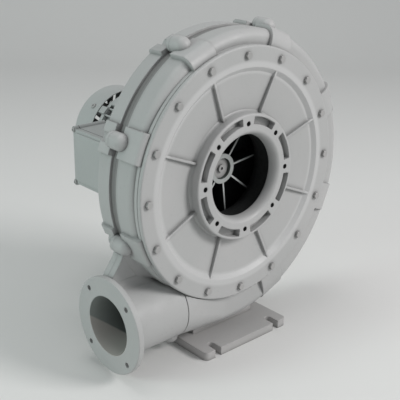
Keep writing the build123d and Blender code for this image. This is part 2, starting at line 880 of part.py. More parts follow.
# Drive-end shield with the mounting flange
with BuildPart() as drive_end_shield:
    with BuildSketch(meridian):
        with BuildLine():
            Polyline(
                (shoulder_radius + shield_gap, flange_joint - motor_spigot_length),
                (motor_spigot_radius, flange_joint - motor_spigot_length),
                (motor_spigot_radius, flange_joint),
                (motor_flange_radius, flange_joint),
                (motor_flange_radius, flange_back),
                (shield_neck_radius, flange_back),
                (shield_neck_radius, frame_front - shield_rim_thickness),
                (shield_rim_radius, frame_front - shield_rim_thickness),
                (shield_rim_radius, frame_front),
                (frame_inner - fit_gap, frame_front),
                (frame_inner - fit_gap, frame_front + register_depth),
                (frame_inner - shield_wall, frame_front + register_depth),
                (frame_inner - shield_wall, flange_back + shield_floor),
                (bearing_outer + bearing_wall, flange_back + shield_floor),
                (bearing_outer + bearing_wall, front_bearing + bearing_width + shield_floor),
                (bearing_outer + bearing_gap, front_bearing + bearing_width + shield_floor),
                (bearing_outer + bearing_gap, front_bearing),
                (shoulder_radius + shield_gap, front_bearing),
                close=True,
            )
        make_face()
    revolve(axis=shaft_axis)
    bore(across(flange_back), motor_places, motor_screw_radius + fit_gap, motor_flange_thickness)
    bore(across(frame_front), tie_places, tie_bolt_radius + fit_gap, shield_rim_thickness - 1)
save(drive_end_shield, "drive_end_shield")

# Rear shield with the lugs that carry the cowl
with BuildPart() as rear_end_shield:
    with BuildSketch(meridian):
        with BuildLine():
            Polyline(
                (frame_inner - shield_wall, frame_back - register_depth),
                (frame_inner - fit_gap, frame_back - register_depth),
                (frame_inner - fit_gap, frame_back),
                (shield_rim_radius, frame_back),
                (shield_rim_radius, frame_back + shield_rim_thickness),
                (bearing_outer + bearing_wall, frame_back + shield_rim_thickness),
                (bearing_outer + bearing_wall, rear_wall + rear_wall_thickness),
                (fan_seat_radius + shield_gap, rear_wall + rear_wall_thickness),
                (fan_seat_radius + shield_gap, rear_wall),
                (bearing_outer + bearing_gap, rear_wall),
                (bearing_outer + bearing_gap, rear_bearing - 1),
                (bearing_outer + bearing_wall, rear_bearing - 1),
                (bearing_outer + bearing_wall, frame_back),
                (frame_inner - shield_wall, frame_back),
                close=True,
            )
        make_face()
    revolve(axis=shaft_axis)
    with BuildSketch(across(cowl_screw_line + lug_width / 2)):
        for angle in lug_angles:
            with Locations(Location((*polar(lug_radius - lug_thickness / 2, angle), 0), angle)):
                Rectangle(lug_thickness, lug_width)
        Circle(lug_radius, mode=Mode.INTERSECT)
    extrude(amount=cowl_screw_line + lug_width / 2 - frame_back - 1)
    bore(
        across(frame_back + shield_rim_thickness), tie_places,
        tie_bolt_radius + fit_gap, shield_rim_thickness,
    )
    for angle in lug_angles:
        bore(tangent(lug_radius, angle), [(0, 0)], cowl_screw_radius + fit_gap, -lug_thickness)
save(rear_end_shield, "rear_end_shield")

with BuildPart() as tie_bolts:
    hex_screws(
        across(frame_back + shield_rim_thickness), tie_places, tie_head_flats, -tie_head_height,
        tie_bolt_radius, -(frame_length + 2 * shield_rim_thickness - 2),
    )
save(tie_bolts, "tie_bolts")

# Stator
with BuildPart() as stator_core:
    with BuildSketch(across(core_end)):
        Circle(frame_inner - fit_gap)
        Circle(stator_inner, mode=Mode.SUBTRACT)
        with PolarLocations(stator_inner, slot_count, start_angle=slot_start):
            Rectangle(2 * slot_depth, slot_width, mode=Mode.SUBTRACT)
    extrude(amount=core_length)
save(stator_core, "stator_core")

with BuildPart() as stator_windings:
    for rear in (core_start, core_end + winding_length):
        with BuildSketch(across(rear)):
            Circle(winding_outer)
            Circle(winding_inner, mode=Mode.SUBTRACT)
        extrude(amount=winding_length)
    with BuildSketch(across(core_end)):
        with PolarLocations((winding_inner + slot_bottom) / 2, slot_count, start_angle=slot_start):
            Rectangle(slot_bottom - winding_inner - 2 * seat_gap, slot_width - 2 * seat_gap)
    extrude(amount=core_length)
save(stator_windings, "stator_windings")

# Ball bearings: outer rings with their shields, and inner rings
for name, front in (("front", front_bearing), ("rear", rear_bearing)):
    with BuildPart() as bearing_ring:
        with BuildSketch(meridian):
            band(shield_lip, bearing_outer, front, front + bearing_width)
            inside = (front + shield_sheet, front + bearing_width - shield_sheet)
            band(shield_lip - 1, ring_outer_inside, *inside, mode=Mode.SUBTRACT)
        revolve(axis=shaft_axis)
    save(bearing_ring, f"bearing_outer_{name}")
    with BuildPart() as bearing_ring:
        with BuildSketch(meridian):
            band(bearing_bore + press_gap, ring_inner_outside, front, front + bearing_width)
        revolve(axis=shaft_axis)
    save(bearing_ring, f"bearing_inner_{name}")

with BuildPart() as wave_spring:
    with BuildSketch(meridian):
        band(ring_outer_inside, bearing_outer - seat_gap, rear_bearing + bearing_width, rear_wall)
    revolve(axis=shaft_axis)
save(wave_spring, "wave_spring")

# Cooling fan cowl with a slotted rear wall
with BuildPart() as fan_cowl:
    with BuildSketch(meridian) as section:
        with BuildLine():
            Polyline(
                (0, cowl_back - cowl_sheet),
                (0, cowl_back),
                (cowl_radius, cowl_back),
                (cowl_radius, cowl_front),
                (cowl_radius - cowl_sheet, cowl_front),
                (cowl_radius - cowl_sheet, cowl_back - cowl_sheet),
                close=True,
            )
        make_face()
        fillet(section.vertices().sort_by_distance((cowl_radius, cowl_back))[0], cowl_round)
        inner_corner = (cowl_radius - cowl_sheet, cowl_back - cowl_sheet)
        fillet(section.vertices().sort_by_distance(inner_corner)[0], cowl_round - cowl_sheet)
    revolve(axis=shaft_axis)
    with BuildSketch(across(cowl_back)):
        with PolarLocations((grille_inner + grille_outer) / 2, grille_slots):
            Rectangle(grille_outer - grille_inner, grille_slot_width)
    extrude(amount=cowl_round, mode=Mode.SUBTRACT)
    for angle in lug_angles:
        bore(tangent(cowl_radius, angle), [(0, 0)], cowl_screw_radius + fit_gap, -2 * cowl_sheet)
save(fan_cowl, "fan_cowl")

with BuildPart() as cowl_screws:
    for angle in lug_angles:
        with BuildSketch(tangent(cowl_radius, angle)):
            Circle(cowl_head_radius)
        extrude(amount=cowl_head_height)
        with BuildSketch(tangent(cowl_radius, angle)):
            Circle(cowl_screw_radius)
        extrude(amount=-(cowl_sheet + lug_thickness - 1))
save(cowl_screws, "cowl_screws")

# Terminal box
with BuildPart() as terminal_box:
    with BuildSketch(side(-box_base)):
        box_outline()
    extrude(amount=-(box_reach - box_base))
    with BuildSketch(side(-box_base - box_wall)):
        box_inside()
    extrude(amount=-(box_reach - box_base), mode=Mode.SUBTRACT)
    bore(side(-box_base), [wire_place], wire_hole_radius, -box_wall)
    bore(side(-box_base), box_screw_places, box_screw_radius + fit_gap, -box_wall)
    bore(side(-box_reach), lid_places, lid_screw_radius + fit_gap, lid_screw_engagement + 1)
    bore(Plane.XY.offset(box_bottom), plug_places, plug_radius + fit_gap, box_wall)
save(terminal_box, "terminal_box")

with BuildPart() as terminal_gasket:
    with BuildSketch(side(-box_reach)):
        box_outline()
        box_inside(mode=Mode.SUBTRACT)
        with Locations(*lid_places):
            Circle(lid_screw_radius + fit_gap, mode=Mode.SUBTRACT)
    extrude(amount=-box_gasket)
save(terminal_gasket, "terminal_gasket")

with BuildPart() as terminal_lid:
    with BuildSketch(side(-lid_face)):
        box_outline()
    extrude(amount=lid_thickness)
    with BuildSketch(side(-lid_face)):
        with Locations(box_place):
            RectangleRounded(box_size - 2 * lid_border, box_size - 2 * lid_border, box_corner)
    extrude(amount=-lid_rise)
    chamfer(terminal_lid.faces().sort_by(Axis.X)[0].edges(), lid_rise / 2)
    with BuildSketch(side(-lid_face + lid_thickness)):
        box_inside()
    extrude(amount=-(lid_thickness - box_wall), mode=Mode.SUBTRACT)
    bore(side(-lid_face), lid_places, lid_screw_radius + fit_gap, lid_thickness)
save(terminal_lid, "terminal_lid")

with BuildPart() as lid_screws:
    with BuildSketch(side(-lid_face)):
        with Locations(*lid_places):
            Circle(lid_head_radius)
    extrude(amount=-lid_head_height)
    with BuildSketch(side(-lid_face)):
        with Locations(*lid_places):
            Circle(lid_screw_radius)
    extrude(amount=lid_thickness + box_gasket + lid_screw_engagement)
save(lid_screws, "lid_screws")

with BuildPart() as box_screws:
    hex_screws(
        side(-box_base - box_wall), box_screw_places, box_head_flats, -box_head_height,
        box_screw_radius, -(box_wall + box_screw_engagement),
    )
save(box_screws, "box_screws")

with BuildPart() as terminal_board:
    with BuildSketch(side(-box_base - box_wall)):
        with Locations((box_place[0], box_place[1] + board_offset)):
            RectangleRounded(board_length, board_width, 2)
    extrude(amount=-board_thickness)
save(terminal_board, "terminal_board")

with BuildPart() as terminal_studs:
    with BuildSketch(side(-box_base - box_wall - board_thickness)):
        with Locations((box_place[0], box_place[1] + board_offset)):
            with GridLocations(stud_pitch, stud_row, stud_columns, stud_rows):
                RegularPolygon(stud_flats / 2, 6, major_radius=False)
    extrude(amount=-stud_height)
save(terminal_studs, "terminal_studs")

with BuildPart() as entry_plugs:
    hex_screws(
        Plane.XY.offset(box_bottom), plug_places, plug_flats, -plug_head_height,
        plug_radius, -(box_wall + plug_reach),
    )
save(entry_plugs, "entry_plugs")

# Shaft with its key seat and end hole
with BuildPart() as shaft:
    with BuildSketch(meridian):
        band(0, shaft_radius, shaft_front, front_bearing)
        band(0, bearing_bore, front_bearing, front_bearing + bearing_width)
        band(0, shoulder_radius, front_bearing + bearing_width, core_start)
        band(0, rotor_seat_radius, core_start, core_end)
        band(0, shoulder_radius, core_end, rear_bearing)
        band(0, bearing_bore, rear_bearing, rear_bearing + bearing_width)
        band(0, fan_seat_radius, rear_bearing + bearing_width, shaft_end)
        groove = (clip_front, clip_front + clip_width)
        band(fan_seat_radius - clip_groove, fan_seat_radius, *groove, mode=Mode.SUBTRACT)
    revolve(axis=shaft_axis)
    bore(across(shaft_front), [(0, 0)], wheel_screw_radius + fit_gap, -wheel_screw_length)
    with BuildSketch(Plane.XY.offset(shaft_height + key_floor)):
        with Locations((0, key_front + key_length / 2)):
            Rectangle(key_width + 2 * press_gap, key_length)
    extrude(amount=key_height, mode=Mode.SUBTRACT)
save(shaft, "shaft")

with BuildPart() as shaft_key:
    with BuildSketch(Plane.XY.offset(shaft_height + key_floor)):
        with Locations((0, key_front + key_length / 2)):
            Rectangle(key_width, key_length - 2 * press_gap)
    extrude(amount=key_height)
save(shaft_key, "shaft_key")

# Rotor
with BuildPart() as rotor_core:
    with BuildSketch(across(core_end)):
        Circle(stator_inner - air_gap)
        Circle(rotor_seat_radius + press_gap, mode=Mode.SUBTRACT)
        with PolarLocations(bar_radius, bar_count):
            Rectangle(bar_depth + 2 * fit_gap, bar_width + 2 * fit_gap, mode=Mode.SUBTRACT)
    extrude(amount=core_length)
save(rotor_core, "rotor_core")

with BuildPart() as rotor_cage:
    for front in (core_start - cage_ring_length, core_end):
        with BuildSketch(meridian):
            band(cage_ring_inner, bar_radius + bar_depth / 2, front, front + cage_ring_length)
        revolve(axis=shaft_axis)
    with BuildSketch(across(core_end + 1)):
        with PolarLocations(bar_radius, bar_count):
            Rectangle(bar_depth, bar_width)
    extrude(amount=core_length + 2)
save(rotor_cage, "rotor_cage")

with BuildPart() as spacer_sleeve:
    with BuildSketch(meridian):
        band(shaft_radius + press_gap, shoulder_radius, wheel_back + hub_flange_thickness, front_bearing)
    revolve(axis=shaft_axis)
save(spacer_sleeve, "spacer_sleeve")

# Impeller hub
with BuildPart() as impeller_hub:
    with BuildSketch(meridian):
        with BuildLine():
            Polyline(
                (hub_recess_radius, hub_front),
                (hub_radius, hub_front),
                (hub_radius, wheel_back),
                (hub_flange_radius, wheel_back),
                (hub_flange_radius, wheel_back + hub_flange_thickness),
                (shaft_radius + press_gap, wheel_back + hub_flange_thickness),
                (shaft_radius + press_gap, hub_front + hub_recess_depth),
                (hub_recess_radius, hub_front + hub_recess_depth),
                close=True,
            )
        make_face()
    revolve(axis=shaft_axis)
    with BuildSketch(across(wheel_back + hub_flange_thickness)):
        with Locations((0, shaft_radius)):
            Rectangle(key_width + 2 * press_gap, 2 * (key_floor + key_height + fit_gap - shaft_radius))
    extrude(amount=wheel_back + hub_flange_thickness - hub_front - hub_recess_depth, mode=Mode.SUBTRACT)
save(impeller_hub, "impeller_hub")

with BuildPart() as impeller_disc:
    with BuildSketch(meridian):
        band(hub_radius + press_gap, wheel_radius, wheel_back - wheel_thickness, wheel_back)
    revolve(axis=shaft_axis)
save(impeller_disc, "impeller_disc")

# Backward-curved blades, straight and radial at their roots
with BuildSketch() as blade_line:
    with BuildLine():
        root = Line((hub_radius + press_gap, 0), (blade_straight, 0))
        TangentArc(root @ 1, polar(wheel_radius + blade_thickness, blade_sweep), tangent=root % 1)
    trace(line_width=blade_thickness)

with BuildPart() as impeller_blades:
    with BuildSketch(across(wheel_back - wheel_thickness)):
        with PolarLocations(0, blade_count, start_angle=blade_angle):
            add(blade_line.sketch)
    extrude(amount=wheel_back - eye_front)
    with BuildSketch(meridian):
        with BuildLine():
            Polyline(
                (eye_radius, eye_front + eye_length),
                (hub_radius + press_gap, eye_front + eye_length),
                (hub_radius + press_gap, wheel_back - wheel_thickness),
                (wheel_radius, wheel_back - wheel_thickness),
                (wheel_radius, wheel_back - wheel_thickness - tip_width),
            )
            shroud_curve(0)
        make_face()
        band(0, wheel_radius, eye_front, blade_nose, mode=Mode.SUBTRACT)
    revolve(axis=shaft_axis, mode=Mode.INTERSECT)
save(impeller_blades, "impeller_blades")

with BuildPart() as impeller_shroud:
    with BuildSketch(meridian):
        with BuildLine():
            shroud_curve(fit_gap)
            Polyline(
                (eye_radius, eye_front + eye_length - fit_gap),
                (eye_radius, eye_front),
                (eye_radius + shroud_thickness, eye_front),
                (eye_radius + shroud_thickness, eye_front + eye_length - shroud_thickness),
            )
            shroud_curve(shroud_thickness, shroud_thickness)
            Line(
                (wheel_radius, wheel_back - wheel_thickness - tip_width - shroud_thickness),
                (wheel_radius, wheel_back - wheel_thickness - tip_width - fit_gap),
            )
        make_face()
    revolve(axis=shaft_axis)
save(impeller_shroud, "impeller_shroud")

with BuildPart() as impeller_washer:
    with BuildSketch(meridian):
        band(wheel_screw_radius + fit_gap, washer_radius, washer_front, washer_front + washer_thickness)
    revolve(axis=shaft_axis)
save(impeller_washer, "impeller_washer")

with BuildPart() as impeller_screw:
    with BuildSketch(across(washer_front)):
        Circle(wheel_head_radius)
    extrude(amount=wheel_head_height)
    with BuildSketch(across(washer_front)):
        Circle(wheel_screw_radius)
    extrude(amount=-wheel_screw_length)
    with BuildSketch(across(washer_front - wheel_head_height)):
        RegularPolygon(socket_flats / 2, 6, major_radius=False)
    extrude(amount=-socket_depth, mode=Mode.SUBTRACT)
save(impeller_screw, "impeller_screw")

# Cooling fan on the rear end of the shaft
with BuildPart() as cooling_fan:
    with BuildSketch(meridian):
        band(0, cooling_hub_radius, cooling_front, clip_front)
        band(0, cooling_radius, cooling_front, cooling_front + cooling_web)
    revolve(axis=shaft_axis)
    with BuildSketch(across(cooling_front + cooling_width)):
        with PolarLocations((cooling_hub_radius + cooling_radius) / 2, cooling_blades):
            Rectangle(cooling_radius - cooling_hub_radius + 2, cooling_blade_thickness)
    extrude(amount=cooling_width - cooling_web)
    bore(across(cooling_front), [(0, 0)], fan_seat_radius + press_gap, -2 * cooling_width)
save(cooling_fan, "cooling_fan")

with BuildPart() as fan_clip:
    with BuildSketch(across(clip_front + clip_width - press_gap)):
        Circle(fan_seat_radius + clip_height)
        Circle(fan_seat_radius - clip_groove + press_gap, mode=Mode.SUBTRACT)
        with Locations((0, -fan_seat_radius)):
            Rectangle(clip_mouth, 2 * fan_seat_radius, mode=Mode.SUBTRACT)
    extrude(amount=clip_width - 2 * press_gap)
save(fan_clip, "fan_clip")
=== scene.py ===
# %% [markdown]
# # A high-pressure centrifugal fan, dressed for a studio picture
#
# The solid model of the fan comes in as a fixed frame: 45 named pieces, each already in its place. This
# file gives them what a solid model doesn't have: the skin of cast and painted metal, rounded edges,
# screws with chamfered heads, threads, coves, light, and a camera. Everything is in metres, with Z up.
# The shaft lies along Y and the inlet faces -Y. The outlet pipe lies along X, lower down, and its mouth
# faces -X.

# %% Load the frame
import json
import math

import bmesh
import bpy
import numpy as np
from mathutils import Matrix, Vector


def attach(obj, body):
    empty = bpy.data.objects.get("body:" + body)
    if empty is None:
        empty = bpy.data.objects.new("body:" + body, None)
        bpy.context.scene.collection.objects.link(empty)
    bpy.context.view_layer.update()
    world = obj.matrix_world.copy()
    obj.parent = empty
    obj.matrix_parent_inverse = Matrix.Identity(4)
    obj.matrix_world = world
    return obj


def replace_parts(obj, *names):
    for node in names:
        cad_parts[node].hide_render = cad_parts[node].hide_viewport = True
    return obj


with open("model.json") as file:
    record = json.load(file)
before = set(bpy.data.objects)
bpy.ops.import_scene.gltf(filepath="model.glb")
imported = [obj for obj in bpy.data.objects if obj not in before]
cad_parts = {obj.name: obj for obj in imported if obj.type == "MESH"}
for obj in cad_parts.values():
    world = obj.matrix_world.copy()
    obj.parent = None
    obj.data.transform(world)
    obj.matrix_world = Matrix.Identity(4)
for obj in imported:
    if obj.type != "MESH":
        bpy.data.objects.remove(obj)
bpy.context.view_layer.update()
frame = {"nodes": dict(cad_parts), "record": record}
nodes = frame["nodes"]

# Heights of the two axes above the floor.
SHAFT_HEIGHT = 0.302
DUCT_HEIGHT = 0.089
print("pieces:", len(nodes))

# %% [markdown]
# ## The camera
#
# The fan was seen from its front left, a little from above. A camera could be aimed with a constraint,
# but a place and three directions, right, up and back, say the same exactly and need no aiming. Here the
# directions are the columns of a rotation matrix. A long lens keeps the big round cover from bulging
# towards the viewer.

# %% Camera
camera_place = Vector((-0.9096, -0.9552, 0.7518))
camera_right = Vector((0.7459, -0.6659, 0.0135))
camera_up = Vector((0.2298, 0.2763, 0.9332))
camera_back = camera_right.cross(camera_up)
turn = Matrix((camera_right, camera_up, camera_back)).transposed()
inlet_centre = Vector((0, -0.06, SHAFT_HEIGHT))

lens = bpy.data.cameras.new("fan_camera")
lens.sensor_width = 36.0
lens.lens = 74.29
camera = bpy.data.objects.new("fan_camera", lens)
camera.matrix_world = Matrix.Translation(camera_place) @ turn.to_4x4()
bpy.context.scene.collection.objects.link(camera)
bpy.context.scene.camera = camera
print("camera to inlet:", round((camera_place - inlet_centre).length, 3), "m")

# %% [markdown]
# ## How new shapes are made
#
# Every new shape is a grid of points that whole-array arithmetic places: rows run along a profile and
# columns run around it. One helper turns such grids into a mesh. It joins the last column to the first,
# merges the points that meet at a pole, turns the faces outwards and marks the real edges as sharp. A
# mesh made this way is closed, so it also holds up outside this picture, in a viewer or a printer.


# %% A mesh from grids of points
def surface(name, grids, closed=True, sharp=32, merge=1e-7):
    """Mesh from equal grids of points, with the shape (copies, rows, columns, 3). Where closed is true,
    each row is a loop, and points nearer than merge become one. Edges that bend by more than sharp
    degrees stay crisp."""
    copies, rows, columns = grids.shape[:3]
    index = np.arange(copies * rows * columns).reshape(copies, rows, columns)
    if closed:
        index = np.concatenate([index, index[:, :, :1]], axis=2)
    corners = [index[:, :-1, :-1], index[:, 1:, :-1], index[:, 1:, 1:], index[:, :-1, 1:]]
    quads = np.stack(corners, axis=-1).reshape(-1, 4)
    mesh = bpy.data.meshes.new(name)
    mesh.from_pydata(grids.reshape(-1, 3), [], quads)
    if closed:
        body = bmesh.new()
        body.from_mesh(mesh)
        bmesh.ops.remove_doubles(body, verts=body.verts, dist=merge)
        bmesh.ops.dissolve_degenerate(body, edges=body.edges, dist=merge)
        bmesh.ops.recalc_face_normals(body, faces=body.faces)
        body.to_mesh(mesh)
        body.free()
    mesh.polygons.foreach_set("use_smooth", np.ones(len(mesh.polygons), bool))
    mesh.set_sharp_from_angle(angle=math.radians(sharp))
    piece = bpy.data.objects.new(name, mesh)
    bpy.context.scene.collection.objects.link(piece)
    return piece


# %% Turned shapes and their places
def turned(radii, heights, columns):
    """Points of a turned shape about Z, with the shape (rows, columns, 3): radius times the cosine and
    the sine of the angle, at the row's height. Each radius may be a number or an array over the columns,
    so the same helper makes round and six-sided rows."""
    around = np.linspace(0, 2 * math.pi, columns, endpoint=False)
    radii = np.stack([np.broadcast_to(radius, columns) for radius in radii])
    heights = np.broadcast_to(np.asarray(heights, float)[:, None], radii.shape)
    return np.stack([radii * np.cos(around), radii * np.sin(around), heights], axis=-1)


def placed(grid, origins, axes):
    """Copies of a grid as one array: X, Y and Z of each point times two directions square to the axis
    and the axis itself, plus the origin."""
    axes = np.asarray(axes, float)
    helper = np.where(np.abs(axes[:, 2:3]) < 0.9, (0.0, 0.0, 1.0), (1.0, 0.0, 0.0))
    first = np.cross(helper, axes)
    first /= np.linalg.norm(first, axis=1, keepdims=True)
    second = np.cross(axes, first)
    basis = np.stack([first, second, axes], axis=1)
    return np.einsum("rck,nkj->nrcj", grid, basis) + np.asarray(origins)[:, None, None, :]


def around_shaft(radius, degrees, station):
    """Points at that station along Y: radius times the cosine and the sine of angles that are counted
    from +X upwards, around the shaft."""
    angles = np.radians(degrees)
    across, rise = radius * np.cos(angles), radius * np.sin(angles)
    return np.stack([across, np.full(len(angles), station), SHAFT_HEIGHT + rise], axis=1)


# %% [markdown]
# ## Floor and backdrop
#
# A plane and a wall would show a line where they meet. A studio sweep is one sheet of pale paper that
# runs along the floor and curls up behind the object, so no line crosses the picture. It is a profile,
# floor, quarter circle and wall, carried sideways, then turned to face the camera.


# %% Sweep
def sweep_points(near, far, height, bend, half_width, heading):
    """Profile: level from near to far, then a quarter circle of radius bend, then straight up to height.
    It is carried sideways by half_width each way and turned by heading about Z."""
    arc = np.linspace(0, math.pi / 2, 24)
    depth = np.concatenate([[near], far + bend * np.sin(arc), [far + bend]])
    rise = np.concatenate([[0.0], bend * (1 - np.cos(arc)), [height]])
    across = np.linspace(-half_width, half_width, 9)
    grid = np.zeros((1, len(depth), len(across), 3))
    grid[..., 0] = across * math.cos(heading) + depth[:, None] * math.sin(heading)
    grid[..., 1] = -across * math.sin(heading) + depth[:, None] * math.cos(heading)
    grid[..., 2] = rise[:, None]
    return grid


heading = math.atan2(-camera_back.x, -camera_back.y)
paper_points = sweep_points(near=-6.0, far=2.2, height=4.5, bend=1.4, half_width=6.0, heading=heading)
backdrop = surface("backdrop", paper_points, closed=False)
print("sweep turned by", round(math.degrees(heading), 1), "degrees")

# %% [markdown]
# ## Shared effects
#
# Cast aluminium keeps a faint orange-peel skin under its paint, and the film is never quite even in tone or
# gloss. Corners also get painted shade, and sharp edges a painted highlight. Each of these could be drawn
# into every material again. As a node group it is built once, and every painted casting shares it. All
# patterns read Object coordinates, which stay on the piece when it turns.

# %% Small helpers for node trees
COLOUR, NUMBER = "NodeSocketColor", "NodeSocketFloat"


def new_group(name, inputs, outputs):
    """Shader node group, its inputs given as (type, label, default), its outputs as (type, label)."""
    tree = bpy.data.node_groups.new(name, "ShaderNodeTree")
    for kind, label, value in inputs:
        tree.interface.new_socket(label, in_out="INPUT", socket_type=kind).default_value = value
    for kind, label in outputs:
        tree.interface.new_socket(label, in_out="OUTPUT", socket_type=kind)
    return tree, tree.nodes.new("NodeGroupInput").outputs, tree.nodes.new("NodeGroupOutput").inputs


def effect(tree, group, **values):
    """Places a node group in a tree, with its own values for the named inputs."""
    node = tree.nodes.new("ShaderNodeGroup")
    node.node_tree = group
    for label, value in values.items():
        node.inputs[label].default_value = value
    return node


def object_place(tree):
    """Coordinates of the piece itself."""
    return tree.nodes.new("ShaderNodeTexCoord").outputs["Object"]


def noise(tree, scale, detail, source):
    """Noise texture of that scale on the coordinates of source."""
    node = tree.nodes.new("ShaderNodeTexNoise")
    node.inputs["Scale"].default_value = scale
    node.inputs["Detail"].default_value = detail
    tree.links.new(source, node.inputs["Vector"])
    return node.outputs["Fac"]


# %% Helpers for masks and colours
def spread(tree, value, start, end, low=0.0, high=1.0):
    """Maps the range from start to end onto the range from low to high, clamped."""
    node = tree.nodes.new("ShaderNodeMapRange")
    node.inputs["From Min"].default_value = start
    node.inputs["From Max"].default_value = end
    node.inputs["To Min"].default_value = low
    node.inputs["To Max"].default_value = high
    tree.links.new(value, node.inputs["Value"])
    return node.outputs["Result"]


def maths(tree, operation, first, second):
    """One step of arithmetic between two sockets, or a socket and a number."""
    node = tree.nodes.new("ShaderNodeMath")
    node.operation = operation
    for socket, value in zip(node.inputs, (first, second)):
        if isinstance(value, (int, float)):
            socket.default_value = value
        else:
            tree.links.new(value, socket)
    return node.outputs["Value"]


def both(tree, first, second):
    """Mask that is one where both masks are one, or a mask made weaker by a number."""
    return maths(tree, "MULTIPLY", first, second)


def mixed(tree, share, first, second):
    """Colour between two colours, by a mask. A colour is a socket or three numbers."""
    node = tree.nodes.new("ShaderNodeMix")
    node.data_type = "RGBA"
    tree.links.new(share, node.inputs["Factor"])
    for label, value in (("A", first), ("B", second)):
        socket = [s for s in node.inputs if s.name == label and s.type == "RGBA"][0]
        if isinstance(value, tuple):
            socket.default_value = (*value, 1)
        else:
            tree.links.new(value, socket)
    return [s for s in node.outputs if s.type == "RGBA"][0]


# %% [markdown]
# Narrow corners get painted shade: their colour is darkened where little light would reach. It could be
# painted there by hand, but the Ambient Occlusion node finds corners by itself: it sends short rays out of
# the surface and counts how many are free. Noise breaks the mask up, so the painted shade is not even.

# %% Crevice shade, painted
crevice, crevice_in, crevice_out = new_group(
    "crevice_painted_shade", [(NUMBER, "Reach", 0.02)], [(NUMBER, "Mask")]
)
shade = crevice.nodes.new("ShaderNodeAmbientOcclusion")
shade.samples = 8
crevice.links.new(crevice_in["Reach"], shade.inputs["Distance"])
hollow = spread(crevice, shade.outputs["AO"], 0.95, 0.25)
uneven = spread(crevice, noise(crevice, 60.0, 4.0, object_place(crevice)), 0.3, 0.7, 0.75, 1.0)
crevice.links.new(both(crevice, hollow, uneven), crevice_out["Mask"])
print("effect:", crevice.name)

# %% [markdown]
# Edges get a painted highlight: their colour is lightened where a rounded edge would catch light. They
# could be picked out by hand, but the Bevel node gives the normal that a rounded edge would have. Near an
# edge it turns away from the face's own normal, so the dot product of the two falls below one, and that
# fall is the mask.

# %% Edge highlight, painted
edge, _, edge_out = new_group("edge_mask", [], [(NUMBER, "Mask")])
rounded = edge.nodes.new("ShaderNodeBevel")
rounded.samples = 6
rounded.inputs["Radius"].default_value = 0.0011
facing = edge.nodes.new("ShaderNodeVectorMath")
facing.operation = "DOT_PRODUCT"
edge.links.new(rounded.outputs["Normal"], facing.inputs[0])
edge.links.new(edge.nodes.new("ShaderNodeNewGeometry").outputs["True Normal"], facing.inputs[1])
bent = spread(edge, facing.outputs["Value"], 0.97, 0.8)
highlight_breakup = spread(edge, noise(edge, 35.0, 3.0, object_place(edge)), 0.35, 0.6, 0.35, 1.0)
edge.links.new(both(edge, bent, highlight_breakup), edge_out["Mask"])
print("effect:", edge.name)

# %% [markdown]
# A painted casting is one colour only from far away. Close up its tone drifts in clouds the size of a
# hand and a few specks sit in the film, while its edges carry a painted highlight and its corners painted
# shade. The height is two noises together, a fine grain and the broader orange peel.

# %% Skin of a painted casting
skin, skin_in, skin_out = new_group(
    "painted_casting_skin",
    [(COLOUR, "Paint", (0.45, 0.46, 0.45, 1)), (COLOUR, "Shade", (0.4, 0.42, 0.41, 1)),
     (COLOUR, "DirtAndShade", (0.1, 0.1, 0.09, 1)), (NUMBER, "Roughness", 0.45)],
    [(COLOUR, "Colour"), (NUMBER, "Roughness"), (NUMBER, "Height")],
)
PAINTED_EDGE_HIGHLIGHT = (0.75, 0.75, 0.74)
place = object_place(skin)
clouds = spread(skin, noise(skin, 7.0, 3.0, place), 0.35, 0.65)
painted = mixed(skin, clouds, skin_in["Paint"], skin_in["Shade"])
specks = spread(skin, noise(skin, 260.0, 2.0, place), 0.66, 0.72, 0.0, 0.1)
painted = mixed(skin, specks, painted, skin_in["DirtAndShade"])
# Painted highlight on the edges, and painted shade in the corners in the same dark colour as the specks.
edges = effect(skin, edge).outputs["Mask"]
painted = mixed(skin, both(skin, edges, 0.22), painted, PAINTED_EDGE_HIGHLIGHT)
corners = effect(skin, crevice, Reach=0.008).outputs["Mask"]
painted = mixed(skin, both(skin, corners, 0.75), painted, skin_in["DirtAndShade"])
skin.links.new(painted, skin_out["Colour"])
patchy = spread(skin, noise(skin, 45.0, 2.0, place), 0.35, 0.65, -0.06, 0.06)
skin.links.new(maths(skin, "ADD", skin_in["Roughness"], patchy), skin_out["Roughness"])
peel = maths(skin, "ADD", noise(skin, 420.0, 2.0, place), noise(skin, 90.0, 1.0, place))
skin.links.new(peel, skin_out["Height"])
print("effect:", skin.name)

# %% [markdown]
# Bare metal, and the plain rubber and plastic parts, have no film to chip. They stain in small clouds,
# their gloss changes from place to place, and their corners get painted shade, almost black.

# %% Skin of bare machined or stamped metal
bare, bare_in, bare_out = new_group(
    "bare_metal_skin",
    [(COLOUR, "Metal", (0.5, 0.5, 0.5, 1)), (COLOUR, "Stain", (0.3, 0.3, 0.3, 1)),
     (NUMBER, "Roughness", 0.35)],
    [(COLOUR, "Colour"), (NUMBER, "Roughness"), (NUMBER, "Height")],
)
PAINTED_CORNER_SHADE = (0.004, 0.005, 0.005)
place = object_place(bare)
stained = spread(bare, noise(bare, 60.0, 4.0, place), 0.35, 0.65, 0.0, 0.6)
metal = mixed(bare, stained, bare_in["Metal"], bare_in["Stain"])
# Painted shade in the corners, almost black.
corners = effect(bare, crevice, Reach=0.012).outputs["Mask"]
metal = mixed(bare, both(bare, corners, 0.8), metal, PAINTED_CORNER_SHADE)
bare.links.new(metal, bare_out["Colour"])
patchy = spread(bare, noise(bare, 150.0, 3.0, place), 0.35, 0.65, -0.1, 0.1)
bare.links.new(maths(bare, "ADD", bare_in["Roughness"], patchy), bare_out["Roughness"])
bare.links.new(noise(bare, 900.0, 2.0, place), bare_out["Height"])
print("effects:", sorted(group.name for group in bpy.data.node_groups))

# %% [markdown]
# ## Finishes
#
# Each finish is a material of its own with the same three parts: a skin group, a bump node, and the
# Principled shader. The edges of the solids are sharp. They could be bevelled in the mesh, which costs
# many faces. Instead the Bevel node feeds the bump node a normal that is rounded within about a
# millimetre of each edge, so the edges of the castings catch the light as real ones do.


